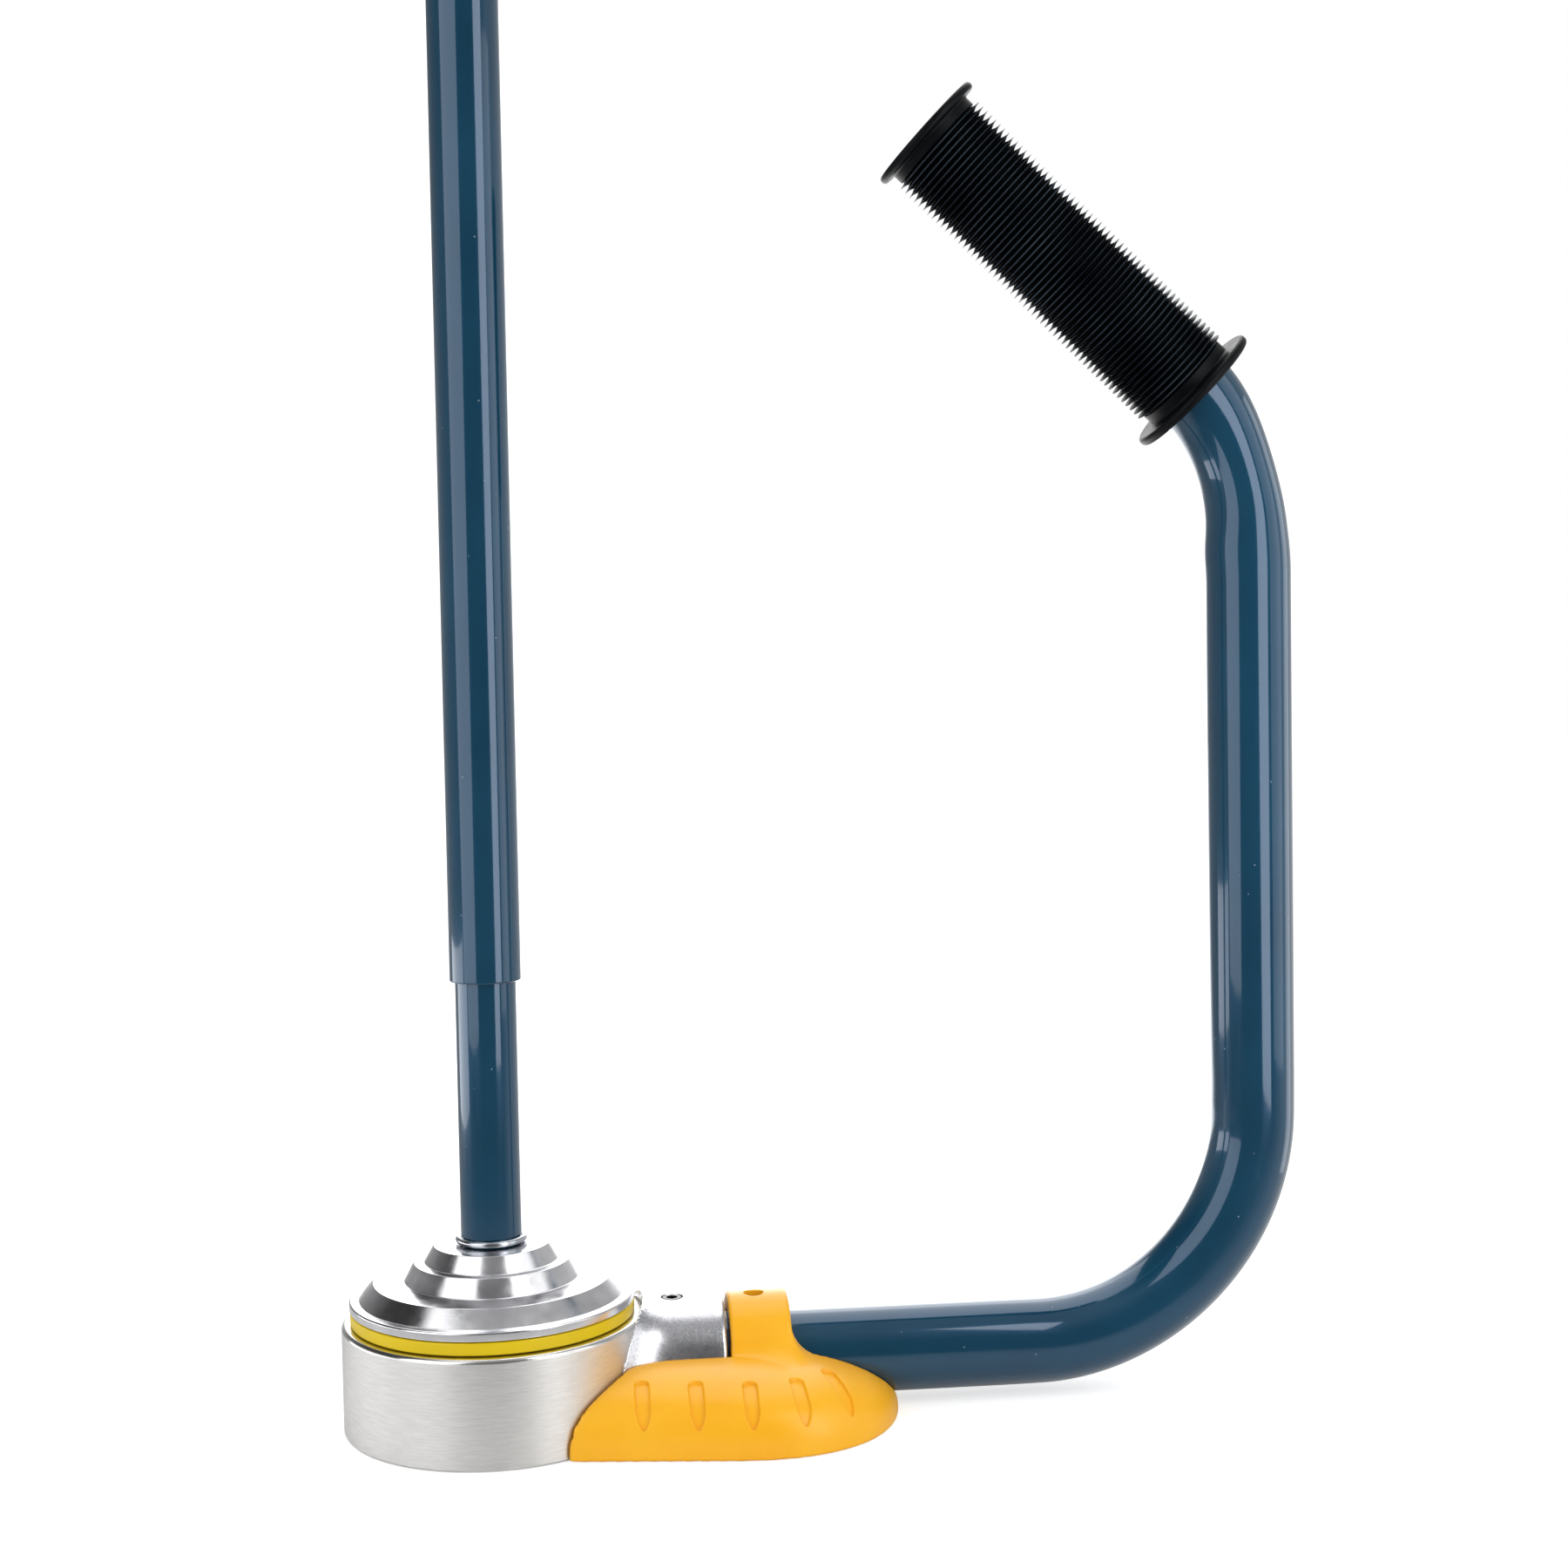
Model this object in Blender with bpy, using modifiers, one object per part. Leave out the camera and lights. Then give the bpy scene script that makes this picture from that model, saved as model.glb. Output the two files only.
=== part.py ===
"""Hand-held stretch-film dispenser: a stepped core hub on a drum base, a telescoping pole and a J handle.

The drum axis is Z, the floor is z = 0, and the handle lies on +X. All sizes are in metres.
"""

import math

import bmesh
import bpy
from mathutils import Matrix, Vector

# Clearances
RUNNING_GAP = 0.0003  # between pieces that touch or turn on each other
FIT_GAP = 0.00025  # round a piece that is pressed or slid into another
POLE_GAP = 0.00035  # between the two poles, which slide and turn

# Drum base
DRUM_DIAMETER = 0.0875
DRUM_HEIGHT = 0.0312
DRUM_TOP_BEVEL = 0.0008
DRUM_BOTTOM_BEVEL = 0.0005
DRUM_TOP_PLATE = 0.0072
DRUM_WALL = 0.01775
BOSS_WALL = 0.006
BOSS_FLOOR = 0.003
BOSS_FLOOR_HEIGHT = 0.009

# Bottom cover and its screws
COVER_DIAMETER = 0.0715
COVER_THICKNESS = 0.002
COVER_SCREWS = 3
COVER_SCREW_CIRCLE = 0.062
COVER_SCREW_DIAMETER = 0.003
COVER_SCREW_HEAD = 0.006
COVER_SCREW_LENGTH = 0.009
COVER_HEAD_DEPTH = 0.0011
COVER_HEAD_LIFT = 0.0002  # screw heads above the floor

# Friction ring and stepped hub
RING_DIAMETER = 0.0825
RING_WIDTH = 0.0112
RING_THICKNESS = 0.0036
FLANGE_DIAMETER = 0.0828
FLANGE_THICKNESS = 0.0026
TIER_LOW_DIAMETERS = (0.0772, 0.0510, 0.0393)
TIER_HIGH_DIAMETERS = (0.0690, 0.0455, 0.0338)
TIER_HEIGHTS = (0.0047, 0.0052, 0.0047)
HUB_EDGE = 0.0004
HUB_LIP = 0.0016  # top plate over the upper bush
BUSH_WALL = 0.003
BUSH_LENGTH = 0.0070

# Telescoping pole
INNER_POLE_DIAMETER = 0.0179
INNER_POLE_WALL = 0.0015
INNER_POLE_LENGTH = 0.318
OUTER_POLE_WALL = 0.0012
OUTER_POLE_LENGTH = 0.430
OUTER_POLE_BOTTOM = 0.1295
SNAP_WIRE = 0.0020
SNAP_GROOVE = 0.0006
SNAP_OPENING_DEG = 20.0
CAP_HEAD = 0.006
CAP_STEM = 0.018

# Twist lock at the top of the inner pole
LOCK_PLUG_LENGTH = 0.024
LOCK_FLANGE = 0.003
LOCK_SPINDLE_DIAMETER = 0.008
LOCK_SLEEVE_LENGTH = 0.026
LOCK_SLEEVE_SLOT = 0.002
LOCK_NUT_DIAMETER = 0.014
LOCK_NUT_HEIGHT = 0.006

# Bolt that holds the pole to the drum
BOLT_DIAMETER = 0.008
BOLT_HEAD_DIAMETER = 0.013
BOLT_HEAD_HEIGHT = 0.0038
BOLT_SOCKET = 0.006
BOLT_SOCKET_DEPTH = 0.002
BOLT_REACH = 0.018
WASHER_DIAMETER = 0.022
WASHER_THICKNESS = 0.0015
POLE_PLUG_LENGTH = 0.028

# Handle tube
TUBE_DIAMETER = 0.0254
TUBE_WALL = 0.0015
TUBE_AXIS_HEIGHT = 0.0155
TUBE_UPRIGHT_X = 0.2290
LOWER_BEND_RADIUS = 0.067
UPPER_BEND_RADIUS = 0.056
UPPER_CORNER_HEIGHT = 0.2835
UPPER_BEND_DEG = 46.6
LOWER_FLATTENING = 0.035
UPPER_FLATTENING = 0.10
FLATTENING_LEAD = 0.014

# Socket arm
ARM_DIAMETER = 0.0374
ARM_END_X = 0.0673
ARM_LIFT = 0.0004
ARM_FLAT = 0.0003
ARM_EDGE = 0.0010
ARM_FLARE_DIAMETER = 0.054
ARM_FLARE_END_X = 0.052
ARM_FLARE_INSET = 0.0012
ARM_FLARE_POWER = 2.2
SOCKET_FLOOR_X = 0.038
GRUB_X = 0.0523
GRUB_DIAMETER = 0.006
GRUB_SOCKET = 0.003
GRUB_SOCKET_DEPTH = 0.0025
GRUB_RECESS = 0.0006

# Grip
GRIP_OFFSET = 0.0214  # from the corner of the upper bend to the lower flange
GRIP_LENGTH = 0.1115
GRIP_END_WALL = 0.003
GRIP_LOW_FLANGE = (0.0426, 0.0028)
GRIP_HIGH_FLANGE = (0.0375, 0.0024)
GRIP_COLLAR_DIAMETER = 0.0302
GRIP_LOW_COLLAR = 0.0036
GRIP_HIGH_COLLAR = 0.0033
GRIP_RIBS = 56
GRIP_RIB_DIAMETER = 0.0332
GRIP_ROOT_DIAMETER = 0.0284
GRIP_ROOT_SHARE = 0.15  # of the pitch, from the top of a rib's share of the length
GRIP_CREST_SHARE = 0.60
GRIP_EDGE = 0.0005

# Foot
FOOT_BACK_WIDTH = 0.0780
FOOT_SPREAD = 0.1375  # how much each side spreads for the length it runs
FOOT_HEIGHT = 0.0213
FOOT_SECTION_POWER = 3.0
FOOT_NOSE_X = 0.1190
FOOT_STRAIGHT_X = 0.0660
FOOT_NOSE_POWER = 2.2
FOOT_CROWN_POWER = 1.08  # how fast the crown falls as the nose narrows
FOOT_BACK_X = 0.0180
COLLAR_DIAMETER = 0.0370
COLLAR_GAP = 0.0011
COLLAR_WIDTH = 0.0180
COLLAR_FILLET = 0.0074
COLLAR_ROOT_SHARE = 0.4  # of the foot's height, where the band starts inside the dome
COLLAR_SEAT_SHARE = 0.86  # of the foot's height, where the fillet runs out
FOOT_HOLE_DIAMETER = 0.0058
FOOT_HOLE_FROM_ARM = 0.0092
FOOT_SCREW_HEIGHT = 0.0030
FLUTE_WIDTH = 0.0041
FLUTE_DEPTH = 0.0009
FLUTE_LOW = 0.0084
FLUTE_INWARD = 0.0142  # from the outline to the head
FLUTE_INWARD_PER_TURN = 0.012  # more, for each radian that a flute turns
FLUTE_POINT = 0.0040
FLUTE_PITCH = 0.0151
FLUTE_FIRST_X = 0.0419
FLUTE_TURN_SHARE = 0.6  # of the outline's turn, which a flute follows
FLUTE_OVERRUN = 0.009  # of a cutter, out from the outline and over the crown
FLUTE_COUNT = 5

# Faces round a turn and along a curve
DRUM_STEPS = 48
TUBE_STEPS = 24
GRIP_STEPS = 16
SMALL_STEPS = 20
SCREW_STEPS = 12
SNAP_STEPS = 28
FLARE_STEPS = 8
CAP_STEPS = 6
LOWER_BEND_STEPS = 10
UPPER_BEND_STEPS = 7
BEND_LEAD_STEPS = 3
FOOT_NOSE_STEPS = 12
FOOT_SECTION_STEPS = 22
FILLET_STEPS = 6
FLUTE_WALK_STEPS = 60
SMOOTH_BELOW_DEG = 40.0
WELD_DISTANCE = 0.00001

# Heights and radii that follow from the sizes above
drum_radius = DRUM_DIAMETER / 2
pole_radius = INNER_POLE_DIAMETER / 2
pole_bore_radius = pole_radius - INNER_POLE_WALL
pole_seat = BOSS_FLOOR_HEIGHT + BOSS_FLOOR
pole_bottom = pole_seat + RUNNING_GAP
pole_top = pole_bottom + INNER_POLE_LENGTH
cover_rebate = COVER_THICKNESS + RUNNING_GAP
ring_bottom = DRUM_HEIGHT + RUNNING_GAP
ring_top = ring_bottom + RING_THICKNESS
hub_bottom = ring_top + RUNNING_GAP
flange_top = hub_bottom + FLANGE_THICKNESS
hub_top = flange_top + sum(TIER_HEIGHTS)
bush_radius = pole_radius + RUNNING_GAP + BUSH_WALL
snap_height = hub_top + RUNNING_GAP + SNAP_WIRE / 2
sleeve_radius = pole_radius
outer_bore_radius = pole_radius + POLE_GAP
outer_radius = outer_bore_radius + OUTER_POLE_WALL
outer_top = OUTER_POLE_BOTTOM + OUTER_POLE_LENGTH
lock_flange_top = pole_top + RUNNING_GAP + LOCK_FLANGE
lock_sleeve_top = lock_flange_top + RUNNING_GAP + LOCK_SLEEVE_LENGTH
tube_radius = TUBE_DIAMETER / 2
arm_radius = ARM_DIAMETER / 2
arm_top = TUBE_AXIS_HEIGHT + arm_radius
flare_start = math.sqrt(drum_radius**2 - (ARM_FLARE_DIAMETER / 2) ** 2) - ARM_FLARE_INSET
collar_left = ARM_END_X + COLLAR_GAP
foot_hole_x = ARM_END_X + FOOT_HOLE_FROM_ARM
collar_top = TUBE_AXIS_HEIGHT + COLLAR_DIAMETER / 2
bend_angle = math.radians(UPPER_BEND_DEG)
grip_direction = Vector((-math.sin(bend_angle), 0.0, math.cos(bend_angle)))
upper_corner = Vector((TUBE_UPRIGHT_X, 0.0, UPPER_CORNER_HEIGHT))
grip_start = upper_corner + GRIP_OFFSET * grip_direction


def clear_scene():
    for old in list(bpy.data.objects):
        bpy.data.objects.remove(old, do_unlink=True)


def new_collection(name):
    made = bpy.data.collections.new(name)
    bpy.context.scene.collection.children.link(made)
    return made


clear_scene()
PARTS = new_collection("film_dispenser")
CUTTERS = new_collection("cutters")


def finish(name, colour, roughness, metallic):
    """A plain material with the piece's colour."""
    made = bpy.data.materials.new(name)
    made.use_nodes = True
    shader = made.node_tree.nodes["Principled BSDF"]
    shader.inputs["Base Color"].default_value = (*colour, 1.0)
    shader.inputs["Roughness"].default_value = roughness
    shader.inputs["Metallic"].default_value = metallic
    return made


BRUSHED_ALUMINIUM = finish("brushed_aluminium", (0.66, 0.65, 0.64), 0.35, 1.0)
TURNED_ALUMINIUM = finish("turned_aluminium", (0.75, 0.75, 0.75), 0.18, 1.0)
BLUE_PAINT = finish("blue_paint", (0.012, 0.055, 0.085), 0.25, 0.0)
ORANGE_PLASTIC = finish("orange_plastic", (0.98, 0.50, 0.023), 0.45, 0.0)
YELLOW_PLASTIC = finish("yellow_plastic", (0.75, 0.50, 0.014), 0.40, 0.0)
BLACK_RUBBER = finish("black_rubber", (0.008, 0.009, 0.012), 0.55, 0.0)
ZINC_STEEL = finish("zinc_steel", (0.60, 0.61, 0.62), 0.30, 1.0)
BLACK_STEEL = finish("black_steel", (0.03, 0.03, 0.03), 0.45, 1.0)
NYLON = finish("natural_nylon", (0.72, 0.70, 0.64), 0.50, 0.0)
BRONZE = finish("bronze", (0.45, 0.27, 0.10), 0.40, 1.0)


def new_object(name, mesh, material=None):
    """An object in the part, or a hidden helper when it has no material."""
    made = bpy.data.objects.new(name, mesh)
    if material:
        mesh.materials.append(material)
        PARTS.objects.link(made)
    else:
        CUTTERS.objects.link(made)
        made.hide_render = True
        made.display_type = "WIRE"
    return made


def turned(name, profile, steps, material=None):
    """A profile of (radius, height) points turned round Z. One that leaves the axis clear is a ring."""
    on_axis = profile[0][0] == 0.0
    mesh = bpy.data.meshes.new(name)
    points = [(radius, 0.0, height) for radius, height in profile]
    edges = [(i, i + 1) for i in range(len(points) - 1)]
    if not on_axis:
        edges.append((len(points) - 1, 0))
    mesh.from_pydata(points, edges, [])
    made = new_object(name, mesh, material)
    screw = made.modifiers.new("turn", "SCREW")
    screw.axis = "Z"
    screw.angle = 2 * math.pi
    screw.steps = steps
    screw.render_steps = steps
    screw.use_merge_vertices = True
    screw.merge_threshold = WELD_DISTANCE
    screw.use_smooth_shade = True
    return made


def rod(name, radius, low, high, steps, material=None):
    return turned(name, [(0.0, high), (radius, high), (radius, low), (0.0, low)], steps, material)


def sleeve(name, outer, inner, low, high, steps, material=None):
    return turned(name, [(outer, high), (outer, low), (inner, low), (inner, high)], steps, material)


def lay_along_x(made, height):
    """Turns a piece made round Z so that it lies along X at this height."""
    made.matrix_world = Matrix.Translation((0.0, 0.0, height)) @ Matrix.Rotation(math.pi / 2, 4, "Y")


def box(name, low, high):
    mesh = bpy.data.meshes.new(name)
    shape = bmesh.new()
    bmesh.ops.create_cube(shape, size=1.0)
    size = [b - a for a, b in zip(low, high)]
    centre = [(a + b) / 2 for a, b in zip(low, high)]
    bmesh.ops.scale(shape, vec=size, verts=shape.verts)
    bmesh.ops.translate(shape, vec=centre, verts=shape.verts)
    shape.to_mesh(mesh)
    shape.free()
    return new_object(name, mesh)


def boolean(target, tool, operation, solver="EXACT"):
    change = target.modifiers.new(tool.name, "BOOLEAN")
    change.object = tool
    change.operation = operation
    change.solver = solver


def cut(target, *tools, solver="EXACT"):
    for tool in tools:
        boolean(target, tool, "DIFFERENCE", solver)


def hexagon_cutter(name, across_flats, low, high):
    return rod(name, across_flats / math.sqrt(3), low, high, 6)


def loft(name, rings, material=None):
    """A skin through closed rings of points, with a face over each end."""
    mesh = bpy.data.meshes.new(name)
    shape = bmesh.new()
    rows = [[shape.verts.new(point) for point in ring] for ring in rings]
    count = len(rows[0])
    for row, following in zip(rows, rows[1:]):
        for i in range(count):
            k = (i + 1) % count
            shape.faces.new((row[i], row[k], following[k], following[i]))
    shape.faces.new(rows[0])
    shape.faces.new(rows[-1])
    bmesh.ops.recalc_face_normals(shape, faces=shape.faces)
    shape.to_mesh(mesh)
    shape.free()
    return new_object(name, mesh, material)


# Base

def arm_flare(extra):
    """The arm's outline from its straight part to the drum, as (radius, distance) points."""
    reach = ARM_FLARE_END_X - flare_start
    points = []
    for i in range(FLARE_STEPS + 1):
        share = i / FLARE_STEPS
        radius = arm_radius + (ARM_FLARE_DIAMETER / 2 - arm_radius) * share**ARM_FLARE_POWER
        points.append((radius + extra, ARM_FLARE_END_X - reach * share))
    return points


def socket_arm():
    """The flared arm that holds the handle tube, cut flat below and round the hub."""
    profile = [(0.0, ARM_END_X), (arm_radius - ARM_EDGE, ARM_END_X), (arm_radius, ARM_END_X - ARM_EDGE)]
    profile += arm_flare(0.0) + [(0.0, flare_start)]
    arm = turned("socket_arm_blank", profile, DRUM_STEPS)
    lay_along_x(arm, TUBE_AXIS_HEIGHT)
    far = DRUM_DIAMETER
    below = box("arm_underside", (0.0, -far, -far), (far, far, ARM_LIFT))
    above = box("arm_topside", (0.0, -far, arm_top - ARM_FLAT), (far, far, arm_top + far))
    hub_room_radius = FLANGE_DIAMETER / 2 + 3 * RUNNING_GAP
    hub_room = rod("hub_room", hub_room_radius, DRUM_HEIGHT - RUNNING_GAP, hub_top, DRUM_STEPS)
    cut(arm, below, above, hub_room)
    return arm


def base_housing():
    rim = [
        (0.0, DRUM_HEIGHT),
        (drum_radius - DRUM_TOP_BEVEL, DRUM_HEIGHT),
        (drum_radius, DRUM_HEIGHT - DRUM_TOP_BEVEL),
        (drum_radius, DRUM_BOTTOM_BEVEL),
        (drum_radius - DRUM_BOTTOM_BEVEL, 0.0),
        (0.0, 0.0),
    ]
    housing = turned("base_housing", rim, DRUM_STEPS, BRUSHED_ALUMINIUM)
    boolean(housing, socket_arm(), "UNION", "MANIFOLD")
    boss_radius = pole_radius + FIT_GAP + BOSS_WALL
    hollow_radius = drum_radius - DRUM_WALL
    hollow_top = DRUM_HEIGHT - DRUM_TOP_PLATE
    rebate_radius = COVER_DIAMETER / 2 + FIT_GAP
    underside = turned(
        "underside_hollow",
        [
            (0.0, BOSS_FLOOR_HEIGHT),
            (boss_radius, BOSS_FLOOR_HEIGHT),
            (boss_radius, hollow_top),
            (hollow_radius, hollow_top),
            (hollow_radius, cover_rebate),
            (rebate_radius, cover_rebate),
            (rebate_radius, -DRUM_HEIGHT),
            (0.0, -DRUM_HEIGHT),
        ],
        DRUM_STEPS,
    )
    bolt_room = BOLT_DIAMETER / 2 + FIT_GAP
    pole_hole = turned(
        "pole_hole",
        [
            (0.0, hub_top),
            (pole_radius + FIT_GAP, hub_top),
            (pole_radius + FIT_GAP, pole_seat),
            (bolt_room, pole_seat),
            (bolt_room, BOSS_FLOOR_HEIGHT - BOSS_FLOOR),
            (0.0, BOSS_FLOOR_HEIGHT - BOSS_FLOOR),
        ],
        TUBE_STEPS,
    )
    socket_end = ARM_END_X + TUBE_DIAMETER
    socket = rod("tube_socket", tube_radius + FIT_GAP, SOCKET_FLOOR_X, socket_end, TUBE_STEPS)
    lay_along_x(socket, TUBE_AXIS_HEIGHT)
    grub_room = GRUB_DIAMETER / 2 + FIT_GAP
    grub_hole = rod("grub_hole", grub_room, TUBE_AXIS_HEIGHT, arm_top + arm_radius, SMALL_STEPS)
    grub_hole.location = (GRUB_X, 0.0, 0.0)
    cut(housing, underside, pole_hole, socket, grub_hole, solver="MANIFOLD")
    hole_top = COVER_THICKNESS + COVER_SCREW_LENGTH
    shank_room = COVER_SCREW_DIAMETER / 2 + FIT_GAP
    for i in range(COVER_SCREWS):
        hole = rod(f"cover_screw_hole_{i + 1}", shank_room, 0.0, hole_top, SCREW_STEPS)
        hole.location = cover_screw_place(i)
        cut(housing, hole, solver="MANIFOLD")


def cover_screw_place(index):
    angle = 2 * math.pi * index / COVER_SCREWS + math.pi
    return (COVER_SCREW_CIRCLE / 2 * math.cos(angle), COVER_SCREW_CIRCLE / 2 * math.sin(angle), 0.0)


def bottom_cover():
    cover = rod("bottom_cover", COVER_DIAMETER / 2, 0.0, COVER_THICKNESS, DRUM_STEPS, ZINC_STEEL)
    head_room = COVER_SCREW_HEAD / 2 + FIT_GAP
    shank_room = COVER_SCREW_DIAMETER / 2 + FIT_GAP
    head_top = COVER_HEAD_LIFT + COVER_HEAD_DEPTH
    seat = head_top + RUNNING_GAP
    for i in range(COVER_SCREWS):
        steps = [
            (0.0, 2 * COVER_THICKNESS),
            (shank_room, 2 * COVER_THICKNESS),
            (shank_room, seat),
            (head_room, seat),
            (head_room, -COVER_THICKNESS),
            (0.0, -COVER_THICKNESS),
        ]
        hole = turned(f"cover_counterbore_{i + 1}", steps, SMALL_STEPS)
        hole.location = cover_screw_place(i)
        cut(cover, hole, solver="MANIFOLD")
        screw = turned(
            f"cover_screw_{i + 1}",
            [
                (0.0, COVER_SCREW_LENGTH),
                (COVER_SCREW_DIAMETER / 2, COVER_SCREW_LENGTH),
                (COVER_SCREW_DIAMETER / 2, head_top),
                (COVER_SCREW_HEAD / 2, head_top),
                (COVER_SCREW_HEAD / 2, COVER_HEAD_LIFT),
                (0.0, COVER_HEAD_LIFT),
            ],
            SCREW_STEPS,
            ZINC_STEEL,
        )
        screw.location = cover_screw_place(i)


# Hub on its friction ring

def friction_ring():
    outer = RING_DIAMETER / 2
    sleeve("friction_ring", outer, outer - RING_WIDTH, ring_bottom, ring_top, DRUM_STEPS, YELLOW_PLASTIC)


def core_hub():
    """Three tapered steps that centre film cores of three bores, over a flange."""
    outline = []
    height = flange_top
    for low, high, rise in zip(TIER_LOW_DIAMETERS, TIER_HIGH_DIAMETERS, TIER_HEIGHTS):
        height += rise
        edge = [(high / 2 - HUB_EDGE, height), (high / 2, height - HUB_EDGE)]
        outline = edge + [(low / 2, height - rise)] + outline
    flange = FLANGE_DIAMETER / 2
    bore = bush_radius + FIT_GAP
    lip_bore = pole_radius + RUNNING_GAP + FIT_GAP
    outline += [
        (flange - HUB_EDGE, flange_top),
        (flange, flange_top - HUB_EDGE),
        (flange, hub_bottom + HUB_EDGE),
        (flange - HUB_EDGE, hub_bottom),
        (bore, hub_bottom),
        (bore, hub_top - HUB_LIP),
        (lip_bore, hub_top - HUB_LIP),
        (lip_bore, hub_top),
    ]
    return turned("core_hub", outline, DRUM_STEPS, TURNED_ALUMINIUM)


def hub_bushes():
    inner = pole_radius + RUNNING_GAP
    low = hub_bottom + RUNNING_GAP
    high = hub_top - HUB_LIP - RUNNING_GAP
    lower = sleeve("hub_bush_lower", bush_radius, inner, low, low + BUSH_LENGTH, TUBE_STEPS, BRONZE)
    upper = sleeve("hub_bush_upper", bush_radius, inner, high - BUSH_LENGTH, high, TUBE_STEPS, BRONZE)
    return lower, upper


def snap_ring():
    """The wire ring in the pole's groove that keeps the hub down, open at the back."""
    wire = SNAP_WIRE / 2
    middle = pole_radius - SNAP_GROOVE + FIT_GAP + wire
    curve = bpy.data.curves.new("snap_ring_path", "CURVE")
    curve.dimensions = "3D"
    curve.bevel_depth = wire
    curve.bevel_resolution = 1
    curve.use_fill_caps = True
    spline = curve.splines.new("POLY")
    spline.points.add(SNAP_STEPS)
    opening = math.radians(SNAP_OPENING_DEG)
    start = math.pi / 2 + opening / 2
    for i, point in enumerate(spline.points):
        angle = start + (2 * math.pi - opening) * i / SNAP_STEPS
        point.co = (middle * math.cos(angle), middle * math.sin(angle), snap_height, 1.0)
    made = new_object("hub_snap_ring", curve)
    settle_curve(made, ZINC_STEEL)


def settle_curve(made, material):
    """Turns a curve object into a mesh object of the same name, with its caps welded."""
    bpy.context.view_layer.update()
    graph = bpy.context.evaluated_depsgraph_get()
    mesh = bpy.data.meshes.new_from_object(made.evaluated_get(graph))
    shape = bmesh.new()
    shape.from_mesh(mesh)
    bmesh.ops.remove_doubles(shape, verts=shape.verts, dist=WELD_DISTANCE)
    bmesh.ops.recalc_face_normals(shape, faces=shape.faces)
    shape.to_mesh(mesh)
    shape.free()
    name = made.name
    bpy.data.objects.remove(made, do_unlink=True)
    return new_object(name, mesh, material)


# Pole

def inner_pole():
    groove = pole_radius - SNAP_GROOVE
    half = SNAP_WIRE / 2 + FIT_GAP
    turned(
        "inner_pole",
        [
            (pole_radius, pole_top),
            (pole_radius, snap_height + half),
            (groove, snap_height + half),
            (groove, snap_height - half),
            (pole_radius, snap_height - half),
            (pole_radius, pole_bottom),
            (pole_bore_radius, pole_bottom),
            (pole_bore_radius, pole_top),
        ],
        TUBE_STEPS,
        BLUE_PAINT,
    )


def pole_fastening():
    """The threaded plug in the foot of the pole, with the bolt and washer that hold it from below."""
    bolt = BOLT_DIAMETER / 2
    bolt_room = bolt + FIT_GAP
    plug = pole_bore_radius - FIT_GAP
    plug_bottom = pole_bottom + RUNNING_GAP
    bolt_top = pole_seat + BOLT_REACH
    turned(
        "pole_plug",
        [
            (0.0, plug_bottom + POLE_PLUG_LENGTH),
            (plug, plug_bottom + POLE_PLUG_LENGTH),
            (plug, plug_bottom),
            (bolt_room, plug_bottom),
            (bolt_room, bolt_top + RUNNING_GAP),
            (0.0, bolt_top + RUNNING_GAP),
        ],
        TUBE_STEPS,
        ZINC_STEEL,
    )
    washer_top = BOSS_FLOOR_HEIGHT - RUNNING_GAP
    washer_low = washer_top - WASHER_THICKNESS
    sleeve("pole_washer", WASHER_DIAMETER / 2, bolt_room, washer_low, washer_top, TUBE_STEPS, ZINC_STEEL)
    head_top = washer_low - RUNNING_GAP
    head_low = head_top - BOLT_HEAD_HEIGHT
    made = turned(
        "pole_bolt",
        [
            (0.0, bolt_top),
            (bolt, bolt_top),
            (bolt, head_top),
            (BOLT_HEAD_DIAMETER / 2, head_top),
            (BOLT_HEAD_DIAMETER / 2, head_low),
            (0.0, head_low),
        ],
        SMALL_STEPS,
        BLACK_STEEL,
    )
    below = head_low - BOLT_HEAD_HEIGHT
    cut(made, hexagon_cutter("bolt_socket", BOLT_SOCKET, below, head_low + BOLT_SOCKET_DEPTH))


def twist_lock():
    """A plug in the inner pole carries a spindle, and the split sleeve on it turns with the outer pole."""
    spindle = LOCK_SPINDLE_DIAMETER / 2
    plug = pole_bore_radius - FIT_GAP
    seat = pole_top + RUNNING_GAP
    nut_low = lock_sleeve_top + RUNNING_GAP
    spindle_top = nut_low + LOCK_NUT_HEIGHT
    turned(
        "lock_plug",
        [
            (0.0, spindle_top),
            (spindle, spindle_top),
            (spindle, lock_flange_top),
            (pole_radius - FIT_GAP, lock_flange_top),
            (pole_radius - FIT_GAP, seat),
            (plug, seat),
            (plug, pole_top - LOCK_PLUG_LENGTH),
            (0.0, pole_top - LOCK_PLUG_LENGTH),
        ],
        TUBE_STEPS,
        NYLON,
    )
    low = lock_flange_top + RUNNING_GAP
    split = sleeve(
        "lock_sleeve", sleeve_radius, spindle + RUNNING_GAP, low, lock_sleeve_top, TUBE_STEPS, NYLON
    )
    half = LOCK_SLEEVE_SLOT / 2
    cut(split, box("sleeve_slot", (0.0, -half, low - LOCK_FLANGE), (2 * sleeve_radius, half, spindle_top)))
    nut_inner = spindle + FIT_GAP
    nut = sleeve("lock_nut", LOCK_NUT_DIAMETER / 2, nut_inner, nut_low, spindle_top, TUBE_STEPS, ZINC_STEEL)
    return split, nut


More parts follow.
